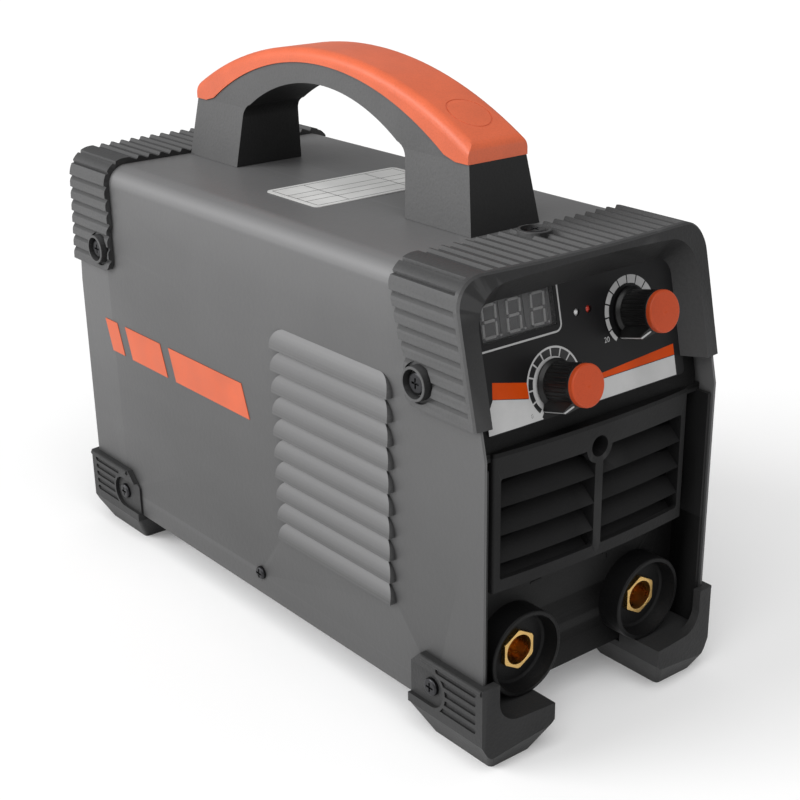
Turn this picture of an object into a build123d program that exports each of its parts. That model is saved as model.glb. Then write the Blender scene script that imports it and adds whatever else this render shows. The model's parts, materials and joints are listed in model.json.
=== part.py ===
from build123d import *
import math
import os

# Stick welding inverter. All sizes are in millimetres.
# Every piece is drawn in case coordinates: x from the middle plane (+x is the right side seen from
# the front), y from the steel case's front edge towards the rear, z up from the case's underside.
# write_node() moves each piece into the part's frame, whose origin is on the floor, at the middle
# of the overall box, with the front towards -Y.

# ---------------------------------------------------------------- driving dimensions
CASE_W = 130.0          # width over the steel cover
CASE_L = 314.0          # length of the steel cover along its lower edge
CASE_H = 184.5          # underside to roof
SHEET = 1.2             # cover's sheet thickness
ROOF_R = 10.0           # outer radius between roof and sides
KNEE_Z = 119.5          # height where the front and rear edges start to lean inwards
FRONT_LEAN = 12.5       # degrees
REAR_LEAN = 5.0         # degrees
FOOT_DROP = 17.0        # floor to the case's underside
FRONT_REACH = 8.609         # furthest point in front of the case: the lower knob's rim
REAR_REACH = 15.5       # furthest point behind the case: the cable gland's cap
BOW = 4.3               # how far the middle of the bowed front stands ahead of its sides
REAR_BOW = 8.0          # the same for the rear hood

LOUVRE_COUNT = 10
LOUVRE_PITCH = 10.2
LOUVRE_Y = (55.0, 137.0)
LOUVRE_Z0 = 37.5        # lower lip of the lowest louvre
LOUVRE_H = 9.3
LOUVRE_OUT = 3.0

HOOD_SKIN = 3.0         # the moulded hoods stand this far outside the steel cover
HOOD_Z0 = 131.5         # lower end of both hoods' legs
HOOD_TOP_REAR = 53.0    # front hood's rear edge on the roof
REAR_HOOD_L = 38.5      # rear hood's length on the roof
HOOD_LIP_W = 53.0       # half width of the opening inside a hood's rim
HOOD_LIP_Z = 172.5      # top of that opening
RIB_PITCH = 6.1         # ribs across the roof
SIDE_PITCH = 6.2        # ribs down the legs
RIB_DEEP = 1.7
RIM_Y = 2.2             # front hood's edge at the foot of its legs
RIM_DEPTH = 2.8         # smooth band ahead of the ribs
RIM_BEVEL = 0.8
MOUTH_REACH = 16.0
BOSS_Y = 35.5           # side bosses, from the nearer end of the case
BOSS_Z = 142.0
BOSS_R = 7.1
BOSS_WALL = 1.2
BOSS_OUT = 2.4          # how far the side bosses stand out of their hood
MOAT_R = 8.5            # sunken ring round a side boss

PANEL_Z0 = 117.0        # lower edge of the leaning control face
PANEL_Y0 = 8.0          # where that edge is
PANEL_T = 2.5
DIAL_ARC = (-18.4, 20.0)        # (x, distance up the slope) of the lower knob
DIAL_CURRENT = (27.5, 39.3)     # of the upper knob
KNOB_H = 19.8
KNOB_R = 8.6
CAP_T = 2.5
WIRE_R = 1.3            # supply leads
KNOB_START = 1.3        # clearance over the overlay
FLANGE_R = 9.9
NOSE_R = 12.5           # reach of the pointer nose
NOSE_STEEP = 12.4       # height at which the nose bends back to the barrel
SHAFT_R = 3.0
BUSH_R = 3.05
WINDOW = (-32.2, 50.2, 38.4, 16.0)      # display window: x, up, width, height
DIGIT_PITCH = 12.5

TRAY_WALL = 22.0        # height of the tray's side walls
BLOCK_W = 55.0          # half width of the grille block
BLOCK_Z = (58.4, 118.0)
BLOCK_EDGE = 7.9        # where the block's bowed front would meet the case's sides
SLAT_PITCH = 12.0
SLAT_BACK = 13.5        # rear edges of the slats
GRILLE_TOP = 106.9
GRILLE_LOW = 63.6
GRILLE_HALF = 51.2      # outer side of the openings
MULLION_HALF = 2.2
FLANGE_Y = 1.2          # front edge of the moulding's side flanges
BASE_Y = 17.0           # front face of the recessed lower panel
SOCKET_X = 36.0
SOCKET_Z = 24.4
COLLAR_R = 19.0
COLLAR_Y = 5.6
BORE_R = 6.55           # takes the 13 mm pin of a 35-50 welding plug
BORE_L = 21.0
BRASS_R = 9.05
BRASS_Y = 10.4

FOOT_SIDE = 47.0        # length of a foot's side flange
FOOT_FRONT = 37.0       # length of its end flange
FOOT_TOP = 23.5
FOOT_SKIN = 3.0
FOOT_TAPER = 7.5
TAPER_Z = -3.0
LEDGE_Z = 5.0

HANDLE_Y = (61.0, 274.0)        # outer faces of the two legs at the roof
HANDLE_MID = 167.5
LEG_L = 42.0
LEG_HALF_W = 19.0
ARCH_HALF_W = 15.5
GRIP_END = 5.0                  # how far each leg leans in by the grip's end
GRIP_Z = 213.0
GRIP_ARC_R = 158.0
GRIP_ARC_TOP = 240.3
GRIP_CROWN = 246.5
ARCH_UNDER = 231.5

FAN_SIZE = 80.0
FAN_DEEP = 25.0
FAN_PITCH = 71.5
FAN_Z = 66.0
FAN_BLADES = 7
FAN_BORE = 38.0
FAN_HUB = 17.0
REAR_Y = CASE_L - 8.0           # outer face of the rear panel
REAR_T = 1.5
SWITCH = (-34.0, 146.0, 22.0, 30.0)     # rocker switch: x, z, width, height
ROCKER_TURN = 18.0
GLAND = (36.0, 144.0)
GLAND_R = 8.0
STUD = (0.0, 146.0)
SCREW_R = 1.7           # radius of the holes for M3 screws
FRONT_SCREW_Z = 107.5
FRONT_SCREW_SEAT = 15.0
TOP_BOSS_FRONT = 44.0
TOP_BOSS_REAR = CASE_L - 26.0
LED_X = (-1.9, 4.6)
LED_UP = 44.6
POINTER_ANGLE = -128.0  # the pointers' rest position, at the start of their scales

BOARD_Z = 30.0          # underside of the main board
BOARD_TOP = BOARD_Z + 1.65
BOARD = (-56.0, 56.0, 48.0, 262.0)
BOARD_POSTS = [(x, y) for x in (-50.0, 50.0) for y in (56.0, 155.0, 254.0)]
SINK_Y = (162.0, 246.0)
SINK_X = (12.0, 52.0)
CHOKE_Y = 62.0
CORE = (28.0, 84.0, 140.0, 21.0)        # transformer core: half width, front, rear, height

LEAN_TAN = math.tan(math.radians(FRONT_LEAN))
LEAN_SIN = math.sin(math.radians(FRONT_LEAN))
LEAN_COS = math.cos(math.radians(FRONT_LEAN))
REAR_TAN = math.tan(math.radians(REAR_LEAN))
FRONT_Y = (FRONT_REACH - REAR_REACH - CASE_L) / 2
TO_FRAME = Pos(0, FRONT_Y, FOOT_DROP)
CONTROL = Plane(origin=(0, PANEL_Y0, PANEL_Z0), x_dir=(1, 0, 0), z_dir=(0, -LEAN_COS, LEAN_SIN))

os.makedirs("parts", exist_ok=True)


# ---------------------------------------------------------------- helpers
def write_node(name, *solids):
    """Moves the solids into the part's frame and writes them as one node."""
    moved = [TO_FRAME * solid for solid in solids]
    shape = moved[0] if len(moved) == 1 else Compound(children=moved)
    shape.label = name
    export_step(shape, f"parts/{name}.step")


def block(x0, x1, y0, y1, z0, z1):
    """A box between two corners."""
    return Pos((x0 + x1) / 2, (y0 + y1) / 2, (z0 + z1) / 2) * Box(x1 - x0, y1 - y0, z1 - z0)


def outline(*points):
    """A closed straight-sided face."""
    return make_face(Polyline(*points, close=True))


def along_y(sketch, y0, y1):
    """Extrudes an (x, z) sketch from y0 to y1."""
    plane = Plane(origin=(0, y0, 0), x_dir=(1, 0, 0), z_dir=(0, -1, 0))
    return extrude(plane * sketch, amount=y0 - y1)


def along_x(sketch, x0, x1):
    """Extrudes a (y, z) sketch from x0 to x1."""
    plane = Plane(origin=(x0, 0, 0), x_dir=(0, 1, 0), z_dir=(1, 0, 0))
    return extrude(plane * sketch, amount=x1 - x0)


def along_z(sketch, z0, z1):
    """Extrudes an (x, y) sketch from z0 to z1."""
    return extrude(Plane.XY.offset(z0) * sketch, amount=z1 - z0)


def rod_y(x, z, radius, y0, y1):
    """A round bar along y."""
    return along_y(Pos(x, z) * Circle(radius), y0, y1)


def rod_x(y, z, radius, x0, x1):
    """A round bar along x."""
    return along_x(Pos(y, z) * Circle(radius), x0, x1)


def rod_z(x, y, radius, z0, z1):
    """A round bar along z."""
    return along_z(Pos(x, y) * Circle(radius), z0, z1)


def on_control(sketch, low, high):
    """Extrudes a sketch on the control face between two distances in front of it."""
    return extrude(CONTROL.offset(low) * sketch, amount=high - low)


def flip_x(solid):
    return mirror(solid, about=Plane.YZ)


def both_sides(solid):
    return [solid, flip_x(solid)]


def bowed(edge_y, depth=60.0, half_w=CASE_W / 2 + HOOD_SKIN, bow=BOW):
    """Plan of a bowed front: its edges are at edge_y and its middle stands ahead of them."""
    front = ThreePointArc((-half_w, edge_y), (0, edge_y - bow), (half_w, edge_y))
    back = Polyline((half_w, edge_y), (half_w, edge_y + depth), (-half_w, edge_y + depth), (-half_w, edge_y))
    return make_face([front, back])


def leaning(sketch, z0, z1, lean_tan=LEAN_TAN):
    """Extrudes a plan upwards from z0 to z1 while it leans towards the rear."""
    rise = z1 - z0
    direction = Vector(0, rise * lean_tan, rise)
    return extrude(Plane.XY.offset(z0) * sketch, amount=direction.length, dir=direction.normalized())


def arched(half_w, top, radius, y0, y1, z0):
    """A straight tunnel shape: upright sides, a flat top and rounded upper corners."""
    section = RectangleRounded(2 * half_w, 2 * top, radius)
    return along_y(section, y0, y1) & block(-half_w - 1, half_w + 1, y0 - 1, y1 + 1, z0, top + 1)


def cross_head(radius, tall, driver=2.2):
    """A pan-head screw's head with a cross recess, standing on z = 0 and pointing up."""
    head = Cylinder(radius, tall, align=(Align.CENTER, Align.CENTER, Align.MIN))
    head = fillet(head.edges().sort_by(Axis.Z)[-1], tall * 0.55)
    slot = Pos(0, 0, tall) * (Box(2 * driver, 0.9, 1.6) + Box(0.9, 2 * driver, 1.6))
    return head - slot


def screw(length, radius=SCREW_R - 0.1, head_r=3.2, head_h=1.9):
    """A pan-head machine screw: its head stands on z = 0 and its shank points down."""
    shank = Cylinder(radius, length, align=(Align.CENTER, Align.CENTER, Align.MAX))
    return cross_head(head_r, head_h) + shank


def facing(point, direction):
    """Places something drawn along +z so that it points along a direction at a point."""
    return Plane(origin=point, z_dir=direction).location


# ---------------------------------------------------------------- steel cover and tray
def case_profile(half_w):
    """The cover's side view, with its leaning front and rear edges, as a slab."""
    rise = CASE_H - KNEE_Z
    side = outline((0, 0), (0, KNEE_Z), (rise * LEAN_TAN, CASE_H), (CASE_L - rise * REAR_TAN, CASE_H),
                   (CASE_L, KNEE_Z), (CASE_L, 0))
    return along_x(side, -half_w, half_w)


def louvre_form(grow, z0, opening):
    """A louvre's pressed form on the left side, shrunk by grow; opening extends it through the wall."""
    skin = -CASE_W / 2
    out = skin - LOUVRE_OUT + grow
    top = z0 + LOUVRE_H - 1.6 * grow
    inner = skin + (SHEET + 0.8 if opening else SHEET * 0.5)
    bulge = ThreePointArc((skin, top), (out + 0.25 * (skin - out), z0 + LOUVRE_H * 0.5), (out, z0))
    rest = Polyline((out, z0), (inner, z0), (inner, top), (skin, top))
    form = along_y(make_face([bulge, rest]), LOUVRE_Y[0] + grow, LOUVRE_Y[1] - grow)
    plan = RectangleRounded(LOUVRE_Y[1] - LOUVRE_Y[0] - 2 * grow, 2 * LOUVRE_H, 7.5 - grow)
    middle = (LOUVRE_Y[0] + LOUVRE_Y[1]) / 2
    return form & along_x(Pos(middle, z0 - grow) * plan, skin - 10, skin + 5)


def louvre_row():
    forms = []
    cuts = []
    for index in range(LOUVRE_COUNT):
        z0 = LOUVRE_Z0 + index * LOUVRE_PITCH
        forms += both_sides(louvre_form(0.0, z0, False))
        cuts += both_sides(louvre_form(0.9, z0 + 0.001, True))
        mouth = block(-CASE_W / 2 - LOUVRE_OUT + 0.9, -CASE_W / 2 - 0.001, LOUVRE_Y[0] + 3, LOUVRE_Y[1] - 3,
                      z0 - 0.5, z0 + 1.0)
        cuts += both_sides(mouth)
    return forms, cuts


def cover_shell():
    outer = arched(CASE_W / 2, CASE_H, ROOF_R, 0, CASE_L, 0)
    inner = arched(CASE_W / 2 - SHEET, CASE_H - SHEET, ROOF_R - SHEET, -1, CASE_L + 1, -1)
    shell = (outer - inner) & case_profile(CASE_W)
    forms, cuts = louvre_row()
    shell = shell + forms
    shell = shell - cuts
    holes = []
    for y in (CASE_L / 2, 30.0, CASE_L - 30.0):
        z = 11.3 if y == CASE_L / 2 else 9.8
        holes.append(rod_x(y, z, SCREW_R, -CASE_W, CASE_W))
    for y in (BOSS_Y, CASE_L - BOSS_Y + 8):
        holes.append(rod_x(y, BOSS_Z, SCREW_R, -CASE_W, CASE_W))
    for y in (TOP_BOSS_FRONT, TOP_BOSS_REAR):
        holes.append(rod_z(0, y, SCREW_R, 150, 200))
    for x, y in handle_screws():
        holes.append(rod_z(x, y, SCREW_R, 150, 200))
    return shell - holes


def base_tray():
    """A folded steel tray: floor, two side walls inside the cover and low end walls."""
    wall = CASE_W / 2 - SHEET - 0.2
    y0 = BASE_Y + PANEL_T + 0.2
    y1 = REAR_Y - REAR_T - 0.2
    tray = block(-wall, wall, y0, y1, 0, TRAY_WALL)
    tray -= block(-wall + 1.5, wall - 1.5, y0 + 1.5, y1 - 1.5, 1.5, TRAY_WALL + 1)
    tray -= block(-wall + 12, wall - 12, y0 - 1, y1 + 1, 12, TRAY_WALL + 1)
    slots = []
    for x in (-38, -14, 14, 38):
        for y in range(90, 250, 16):
            slots.append(along_z(Pos(x, y) * SlotOverall(18, 4), -1, 3))
    tray = tray - slots
    holes = [rod_x(CASE_L / 2, 11.3, SCREW_R - 0.05, -CASE_W, CASE_W)]
    holes += [rod_x(y, 9.8, SCREW_R - 0.05, -CASE_W, CASE_W) for y in (30.0, CASE_L - 30.0)]
    holes += [rod_z(x, y, SCREW_R, -1, 3) for x, y in BOARD_POSTS]
    return tray - holes


# ---------------------------------------------------------------- moulded front
def grille_slat(z_low):
    """A curved slat: its lower lip lies in the block's bowed face and it rises towards the rear."""
    slope = 1.1
    z_high = z_low + SLAT_PITCH - 2.0
    front = leaning(bowed(BLOCK_EDGE), z_low, z_high, slope)
    return front - leaning(bowed(BLOCK_EDGE + 1.7), z_low - 1.0, z_high + 1.0, slope)


def grille_block():
    """The bowed block that carries the air grille, open towards the rear."""
    low, high = BLOCK_Z
    outer = along_z(bowed(BLOCK_EDGE), low, high) & block(-BLOCK_W, BLOCK_W, -20, BASE_Y, low, high)
    outer = fillet(outer.edges().filter_by(Axis.Z).group_by(Axis.Y)[0], 1.2)
    inner = along_z(bowed(BLOCK_EDGE + 2.5), low + 2.5, high - 2.5)
    inner = inner & block(-BLOCK_W + 2.5, BLOCK_W - 2.5, -20, BASE_Y + 10, low, high)
    shell = outer - inner
    posts = block(-MULLION_HALF, MULLION_HALF, -10, SLAT_BACK, GRILLE_LOW - 2.0, GRILLE_TOP)
    posts += both_sides(block(GRILLE_HALF, GRILLE_HALF + 1.5, -10, SLAT_BACK, GRILLE_LOW - 2.0, GRILLE_TOP))
    shell += posts & outer
    boss = rod_y(0, FRONT_SCREW_Z, 7.2, -10, 12)
    rows = []
    for side in (-1, 1):
        x0, x1 = sorted((side * MULLION_HALF, side * GRILLE_HALF))
        opening = block(x0, x1, -10, 12, GRILLE_LOW, GRILLE_TOP)
        opening = fillet(opening.edges().filter_by(Axis.Y), 1.0)
        shell = shell - (opening - boss)
        bay = block(x0 - 1.0, x1 + 1.0, 0, SLAT_BACK, GRILLE_LOW - 2.0, GRILLE_TOP)
        for row in range(4):
            z_low = GRILLE_TOP - SLAT_PITCH * (row + 1)
            rows.append((grille_slat(z_low) & bay & outer) - boss)
    return shell + rows


def front_panel():
    """One moulding: leaning control face, bowed grille block and recessed socket panel."""
    half = CASE_W / 2 - SHEET - 0.3
    face = on_control(Pos(0, 31) * RectangleRounded(2 * half - 3, 62, 5), -PANEL_T, 0)
    block_part = grille_block()
    base = block(-half, half, BASE_Y, BASE_Y + PANEL_T, 1.8, PANEL_Z0)
    base -= block(-BLOCK_W + 6, BLOCK_W - 6, BASE_Y - 1, BASE_Y + 5, BLOCK_Z[0] + 5, BLOCK_Z[1] - 6)
    deck = block(-half, half, PANEL_Y0 - 0.2, BASE_Y + PANEL_T, PANEL_Z0 - 2.5, PANEL_Z0 + 1.0)
    deck += along_z(bowed(BLOCK_EDGE), PANEL_Z0 - 2.5, PANEL_Z0 + 1.0) & block(
        -BLOCK_W + 1, BLOCK_W - 1, -20, BASE_Y, PANEL_Z0 - 2.5, PANEL_Z0 + 1.0)
    deck -= on_control(Rectangle(200, 60), 0, 30) & block(-100, 100, 7.9, 60, 100, 140)
    side_walls = both_sides(block(-half, -half + 2, BASE_Y, BASE_Y + 22, TRAY_WALL + 0.4, PANEL_Z0))
    flanges = both_sides(block(-half, -half + 1.6, FLANGE_Y, BASE_Y, LEDGE_Z + 0.4, PANEL_Z0 - 2.0))
    ears = both_sides(block(-half, -half + 4, 24, 44, PANEL_Z0 - 5, BOSS_Z + 12))
    panel = face + block_part + base + deck + side_walls + flanges + ears
    cuts = [on_control(Pos(x, s) * Circle(BUSH_R + 1.0), -9, 5) for x, s in (DIAL_ARC, DIAL_CURRENT)]
    cuts.append(on_control(Pos(WINDOW[0], WINDOW[1]) * Rectangle(WINDOW[2], WINDOW[3]), -9, 5))
    cuts += [on_control(Pos(x, LED_UP) * Circle(1.6), -9, 5) for x in LED_X]
    cuts += [rod_y(x, SOCKET_Z, 12.0, BASE_Y - 2, BASE_Y + 5) for x in (-SOCKET_X, SOCKET_X)]
    cuts.append(rod_x(BOSS_Y, BOSS_Z, SCREW_R - 0.05, -CASE_W, CASE_W))
    cuts.append(rod_y(0, FRONT_SCREW_Z, 4.5, -5, FRONT_SCREW_SEAT))
    cuts.append(rod_y(0, FRONT_SCREW_Z, SCREW_R, -5, 40))
    collar = rod_y(0, FRONT_SCREW_Z, 6.2, 5.5, BASE_Y + PANEL_T)
    return (panel + collar) - cuts


def control_overlay():
    """The printed polycarbonate sheet on the control face."""
    sheet = RectangleRounded(2 * HOOD_LIP_W + 4, 53, 2)
    overlay = on_control(Pos(0, 33.5) * sheet, 0, 0.5)
    cuts = [on_control(Pos(x, s) * Circle(4.4), -1, 2) for x, s in (DIAL_ARC, DIAL_CURRENT)]
    cuts.append(on_control(Pos(WINDOW[0], WINDOW[1]) * Rectangle(WINDOW[2], WINDOW[3]), -1, 2))
    cuts += [on_control(Pos(x, LED_UP) * Circle(1.6), -1, 2) for x in LED_X]
    return overlay - cuts


def display_window():
    """A clear lens that fills the window flush with the overlay."""
    lens = Rectangle(WINDOW[2] - 0.2, WINDOW[3] - 0.2)
    return on_control(Pos(WINDOW[0], WINDOW[1]) * lens, -1.6, 0.4)


def display_module():
    """Three-digit display block behind the lens."""
    body = on_control(Pos(WINDOW[0], WINDOW[1]) * Rectangle(WINDOW[2] - 0.6, WINDOW[3] - 0.5), -13.5, -2.0)
    slots = []
    for digit in (-DIGIT_PITCH, 0.0, DIGIT_PITCH):
        slots.append(on_control(Pos(WINDOW[0] + digit, WINDOW[1]) * Rectangle(10.5, 14.2), -2.4, -1.9))
    return body - slots


def indicator_leds():
    leds = []
    for x in LED_X:
        stem = on_control(Pos(x, LED_UP) * Circle(1.5), -13.5, -0.6)
        dome = Plane(CONTROL.from_local_coords((x, LED_UP, -0.6)), z_dir=CONTROL.z_dir)
        leds.append(stem + dome.location * Sphere(1.5, arc_size1=0))
    return leds


def potentiometer(x, s):
    """A panel potentiometer: round can, threaded bush through the panel and hexagonal nut."""
    can = on_control(Pos(x, s) * Circle(8.0), -13.5, -5.2)
    bush = on_control(Pos(x, s) * Circle(BUSH_R + 0.9), -5.2, 3.2)
    nut = on_control(Pos(x, s) * RegularPolygon(4.2, 6), 0.6, 2.4)
    tags = on_control(Pos(x, s - 10) * Rectangle(11, 7), -8.0, -7.0)
    return (can + bush + nut + tags) - on_control(Pos(x, s) * Circle(BUSH_R), -6.0, 4.0)


def pot_shaft(x, s):
    """The potentiometer's turning shaft, flat on one side where the knob grips it."""
    shaft = on_control(Pos(x, s) * Circle(SHAFT_R), -5.6, 13.0)
    return shaft - on_control(Pos(x + 3.6, s) * Rectangle(2.4, 8), 5.0, 14.0)


def nose_profile():
    """Side view of the pointer nose, as (radius, height) points."""
    top = KNOB_H - CAP_T - 0.6
    return ((KNOB_R - 1.5, KNOB_START), (NOSE_R, KNOB_START), (NOSE_R - 0.3, NOSE_STEEP),
            (KNOB_R + 1.6, NOSE_STEEP + 2.2), (KNOB_R - 0.1, top), (KNOB_R - 1.5, top))


def knob_body(x, s):
    """A black knob: fluted barrel over a low flange, with a pointer nose, bored for the shaft."""
    start = KNOB_START
    top = KNOB_H - CAP_T
    section = Polyline((0, start), (FLANGE_R, start), (FLANGE_R, start + 0.7), (KNOB_R, start + 1.9),
                       (KNOB_R, top - 0.4), (KNOB_R - 0.4, top), (0, top), close=True)
    body = revolve(Plane.XZ * make_face(section), Axis.Z)
    flutes = []
    for index in range(30):
        flutes.append(Rot(0, 0, index * 12 + 6) * Pos(KNOB_R + 0.25, 0, (start + 2.6 + top - 1.6) / 2) *
                      Cylinder(0.55, top - start - 4.2))
    nose = extrude(Plane.XZ * outline(*nose_profile()), amount=2.3, both=True)
    wedge = along_z(outline((0, -2.3), (KNOB_R - 1.0, -2.3), (NOSE_R + 0.1, -0.95), (NOSE_R + 0.1, 0.95),
                            (KNOB_R - 1.0, 2.3), (0, 2.3)), 0, KNOB_H)
    body = (body - flutes) + Rot(0, 0, POINTER_ANGLE) * (nose & wedge)
    body -= Cylinder(SHAFT_R + 0.02, 13.2, align=(Align.CENTER, Align.CENTER, Align.MIN))
    body -= Cylinder(5.2, 3.8, align=(Align.CENTER, Align.CENTER, Align.MIN))
    slot = outline((NOSE_R - 0.7, 0), (NOSE_R + 2, 0), (NOSE_R + 2, 20), (KNOB_R + 0.2, 20),
                   (KNOB_R + 0.2, 15.0), (NOSE_R - 1.0, NOSE_STEEP - 0.2))
    slot = extrude(Plane.XZ * slot, amount=0.5, both=True)
    body -= Rot(0, 0, POINTER_ANGLE) * slot
    return seat(x, s) * body


def knob_pointer(x, s):
    """The white pointer strip let into the ridge of the knob's nose."""
    points = ((NOSE_R - 0.65, 1.4), (NOSE_R, 1.4), (NOSE_R - 0.3, NOSE_STEEP - 0.05), (KNOB_R + 1.65, 14.55),
              (KNOB_R + 0.35, 15.9), (KNOB_R + 0.25, 15.0), (NOSE_R - 0.95, NOSE_STEEP - 0.25))
    strip = extrude(Plane.XZ * outline(*points), amount=0.45, both=True)
    return seat(x, s) * Rot(0, 0, POINTER_ANGLE) * strip


def knob_cap(x, s):
    """The coloured disc pressed on the knob's end."""
    low = KNOB_H - CAP_T
    section = make_face([
        Polyline((0, KNOB_H), (0, low), (KNOB_R, low), (KNOB_R, KNOB_H - 0.9)),
        ThreePointArc((KNOB_R, KNOB_H - 0.9), (KNOB_R - 0.3, KNOB_H - 0.3), (KNOB_R - 1.0, KNOB_H - 0.1)),
        Line((KNOB_R - 1.0, KNOB_H - 0.1), (0, KNOB_H)),
    ])
    return seat(x, s) * revolve(Plane.XZ * section, Axis.Z)


def seat(x, s):
    """Location of a dial's centre on the control face."""
    return Plane(CONTROL.from_local_coords((x, s, 0)), x_dir=(1, 0, 0), z_dir=CONTROL.z_dir).location


# ---------------------------------------------------------------- output sockets
def socket_hex(side, grow, y0, y1):
    """The contact's hexagonal nose, corners up and down, grown by a clearance."""
    corner = BRASS_R + grow
    return along_y(Pos(side * SOCKET_X, SOCKET_Z) * RegularPolygon(corner, 6, rotation=30), y0, y1)


def socket_body(side):
    """Insulating collar: bowl in front of the panel, spigot through it."""
    x = side * SOCKET_X
    collar = rod_y(x, SOCKET_Z, COLLAR_R, COLLAR_Y, BASE_Y)
    collar = fillet(collar.edges().filter_by(GeomType.CIRCLE).sort_by(Axis.Y)[0], 0.7)
    section = make_face(Polyline((0, COLLAR_Y - 1), (17.3, COLLAR_Y - 1), (17.0, COLLAR_Y + 0.8),
                                 (15.6, 11.8), (14.6, 12.6), (0, 12.6), close=True))
    bowl = Pos(x, 0, SOCKET_Z) * revolve(section, Axis.Y)
    spigot = rod_y(x, SOCKET_Z, 11.8, BASE_Y, 28)
    bore = rod_y(x, SOCKET_Z, BRASS_R + 0.02, 14.5, 40)
    return (collar - bowl + spigot) - bore - socket_hex(side, 0.03, 0, 15)


def socket_insert(side):
    """Brass contact: hexagonal nose with a countersunk mouth, round body and plug bore."""
    x = side * SOCKET_X
    nose = socket_hex(side, 0.0, BRASS_Y, 14.5)
    rounding = Pos(x, BRASS_Y, SOCKET_Z) * Rot(90, 0, 0) * Cone(BRASS_R + 7.6, BRASS_R - 0.4, 8.0, align=(
        Align.CENTER, Align.CENTER, Align.MAX))
    nose = nose & rounding
    body = rod_y(x, SOCKET_Z, BRASS_R, 14.5, 40.0)
    bore = rod_y(x, SOCKET_Z, BORE_R, BRASS_Y - 1, BRASS_Y + BORE_L)
    mouth = Pos(x, BRASS_Y, SOCKET_Z) * Rot(90, 0, 0) * Cone(BORE_R - 0.4, BORE_R + 0.6, 2.0)
    tapped = rod_y(x, SOCKET_Z, 3.05, 32.8, 41)
    return (nose + body) - bore - mouth - tapped


def socket_nuts():
    nuts = []
    for side in (-1, 1):
        x = side * SOCKET_X
        nut = along_y(Pos(x, SOCKET_Z) * RegularPolygon(13.0, 6), 28.2, 32.0)
        nuts.append(nut - rod_y(x, SOCKET_Z, BRASS_R + 0.05, 20, 40))
    return nuts


# ---------------------------------------------------------------- ribbed hoods
def ribbed_section():
    """Hood section: saw-tooth ribs over the roof, broad ribs down both sides."""
    half = CASE_W / 2 + HOOD_SKIN
    top = CASE_H + HOOD_SKIN
    corner = ROOF_R + HOOD_SKIN
    body = RectangleRounded(2 * half, 2 * top, corner)
    grooves = []
    count = int((2 * half - 2 * corner) / RIB_PITCH)
    for index in range(count):
        x = (index - count / 2) * RIB_PITCH
        tooth = ((0.26, -1.0), (0.26, 0.0), (0.42, 0.15), (0.98, RIB_DEEP), (1.08, RIB_DEEP * 0.8),
                 (1.20, 0.1), (1.23, -1.0))
        grooves.append(outline(*[(x + RIB_PITCH * along, top - deep) for along, deep in tooth]))
    side_count = int((top - corner - HOOD_Z0) / SIDE_PITCH)
    for index in range(side_count + 1):
        z = top - corner - index * SIDE_PITCH
        floor = half - RIB_DEEP * 0.8
        groove = ((half + 1, z + 1.1), (half, z + 0.9), (floor, z + 0.1), (floor, z - 0.2),
                  (half - 0.35, z - 1.5), (half, z - 2.6), (half + 1, z - 2.7))
        grooves.append(outline(*groove))
        grooves.append(outline(*[(-x, zz) for x, zz in groove]))
    for sign in (-1, 1):
        for angle in (33, 62):
            tip = Vector(sign * math.cos(math.radians(angle)), math.sin(math.radians(angle)))
            spot = Vector(sign * (half - corner), top - corner) + tip * corner
            turn = angle if sign > 0 else 180 - angle
            wedge = outline((1, -1.7), (-RIB_DEEP * 0.75, 0), (1, 1.7))
            grooves.append(Pos(spot.X, spot.Y) * Rot(0, 0, turn) * wedge)
    return body - grooves


def hood_blank(length):
    """Ribbed shell from y = 0 to length, before trimming."""
    half = CASE_W / 2 + HOOD_SKIN
    top = CASE_H + HOOD_SKIN
    ribs = along_y(ribbed_section(), -10, length)
    ribs = ribs & block(-half - 1, half + 1, -11, length + 1, HOOD_Z0, top + 1)
    return ribs


def side_trim(rear, leg):
    """Side view of a hood: full length on the roof, shorter down the legs, rounded lower corner."""
    rise = CASE_H + HOOD_SKIN + 2
    corner = 6.0
    path = Polyline((-20, HOOD_Z0), (leg - corner, HOOD_Z0))
    turn = ThreePointArc((leg - corner, HOOD_Z0), (leg - corner * 0.29, HOOD_Z0 + corner * 0.29),
                         (leg, HOOD_Z0 + corner))
    up = Polyline((leg, HOOD_Z0 + corner), (leg, 152), (leg + 2.5, 156), (rear, CASE_H - 6), (rear, rise),
                  (-20, rise), (-20, HOOD_Z0))
    return along_x(make_face([path, turn, up]), -CASE_W, CASE_W)


def side_bosses(y):
    """Screw bosses on both legs of a hood: a sunken ring, a tube that stands proud, a deep recess."""
    half = CASE_W / 2 + HOOD_SKIN
    moat = rod_x(y, BOSS_Z, MOAT_R, -half - 1, -half + 1.6)
    ring = rod_x(y, BOSS_Z, BOSS_R, -half - BOSS_OUT, -CASE_W / 2 - 0.1)
    ring = fillet(ring.edges().filter_by(GeomType.CIRCLE).sort_by(Axis.X)[0], 0.45)
    cup = rod_x(y, BOSS_Z, BOSS_R - BOSS_WALL, -half - 4, -half + 1.6)
    return both_sides(moat), both_sides(ring), both_sides(cup)


def finish_hood(shell, y_side, y_top):
    """Adds a hood's screw bosses, on its legs and on its roof."""
    top = CASE_H + HOOD_SKIN
    moats, rings, cups = side_bosses(y_side)
    top_ring = rod_z(0, y_top, BOSS_R, CASE_H + 0.05, top + 1.2)
    top_ring = fillet(top_ring.edges().filter_by(GeomType.CIRCLE).sort_by(Axis.Z)[-1], 0.45)
    shell = (shell - moats) + rings + top_ring
    shell = shell - cups - rod_z(0, y_top, BOSS_R - BOSS_WALL, top - 1.4, top + 3)
    return shell - [rod_x(y_side, BOSS_Z, SCREW_R, -CASE_W, CASE_W), rod_z(0, y_top, SCREW_R, 150, 200)]


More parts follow.
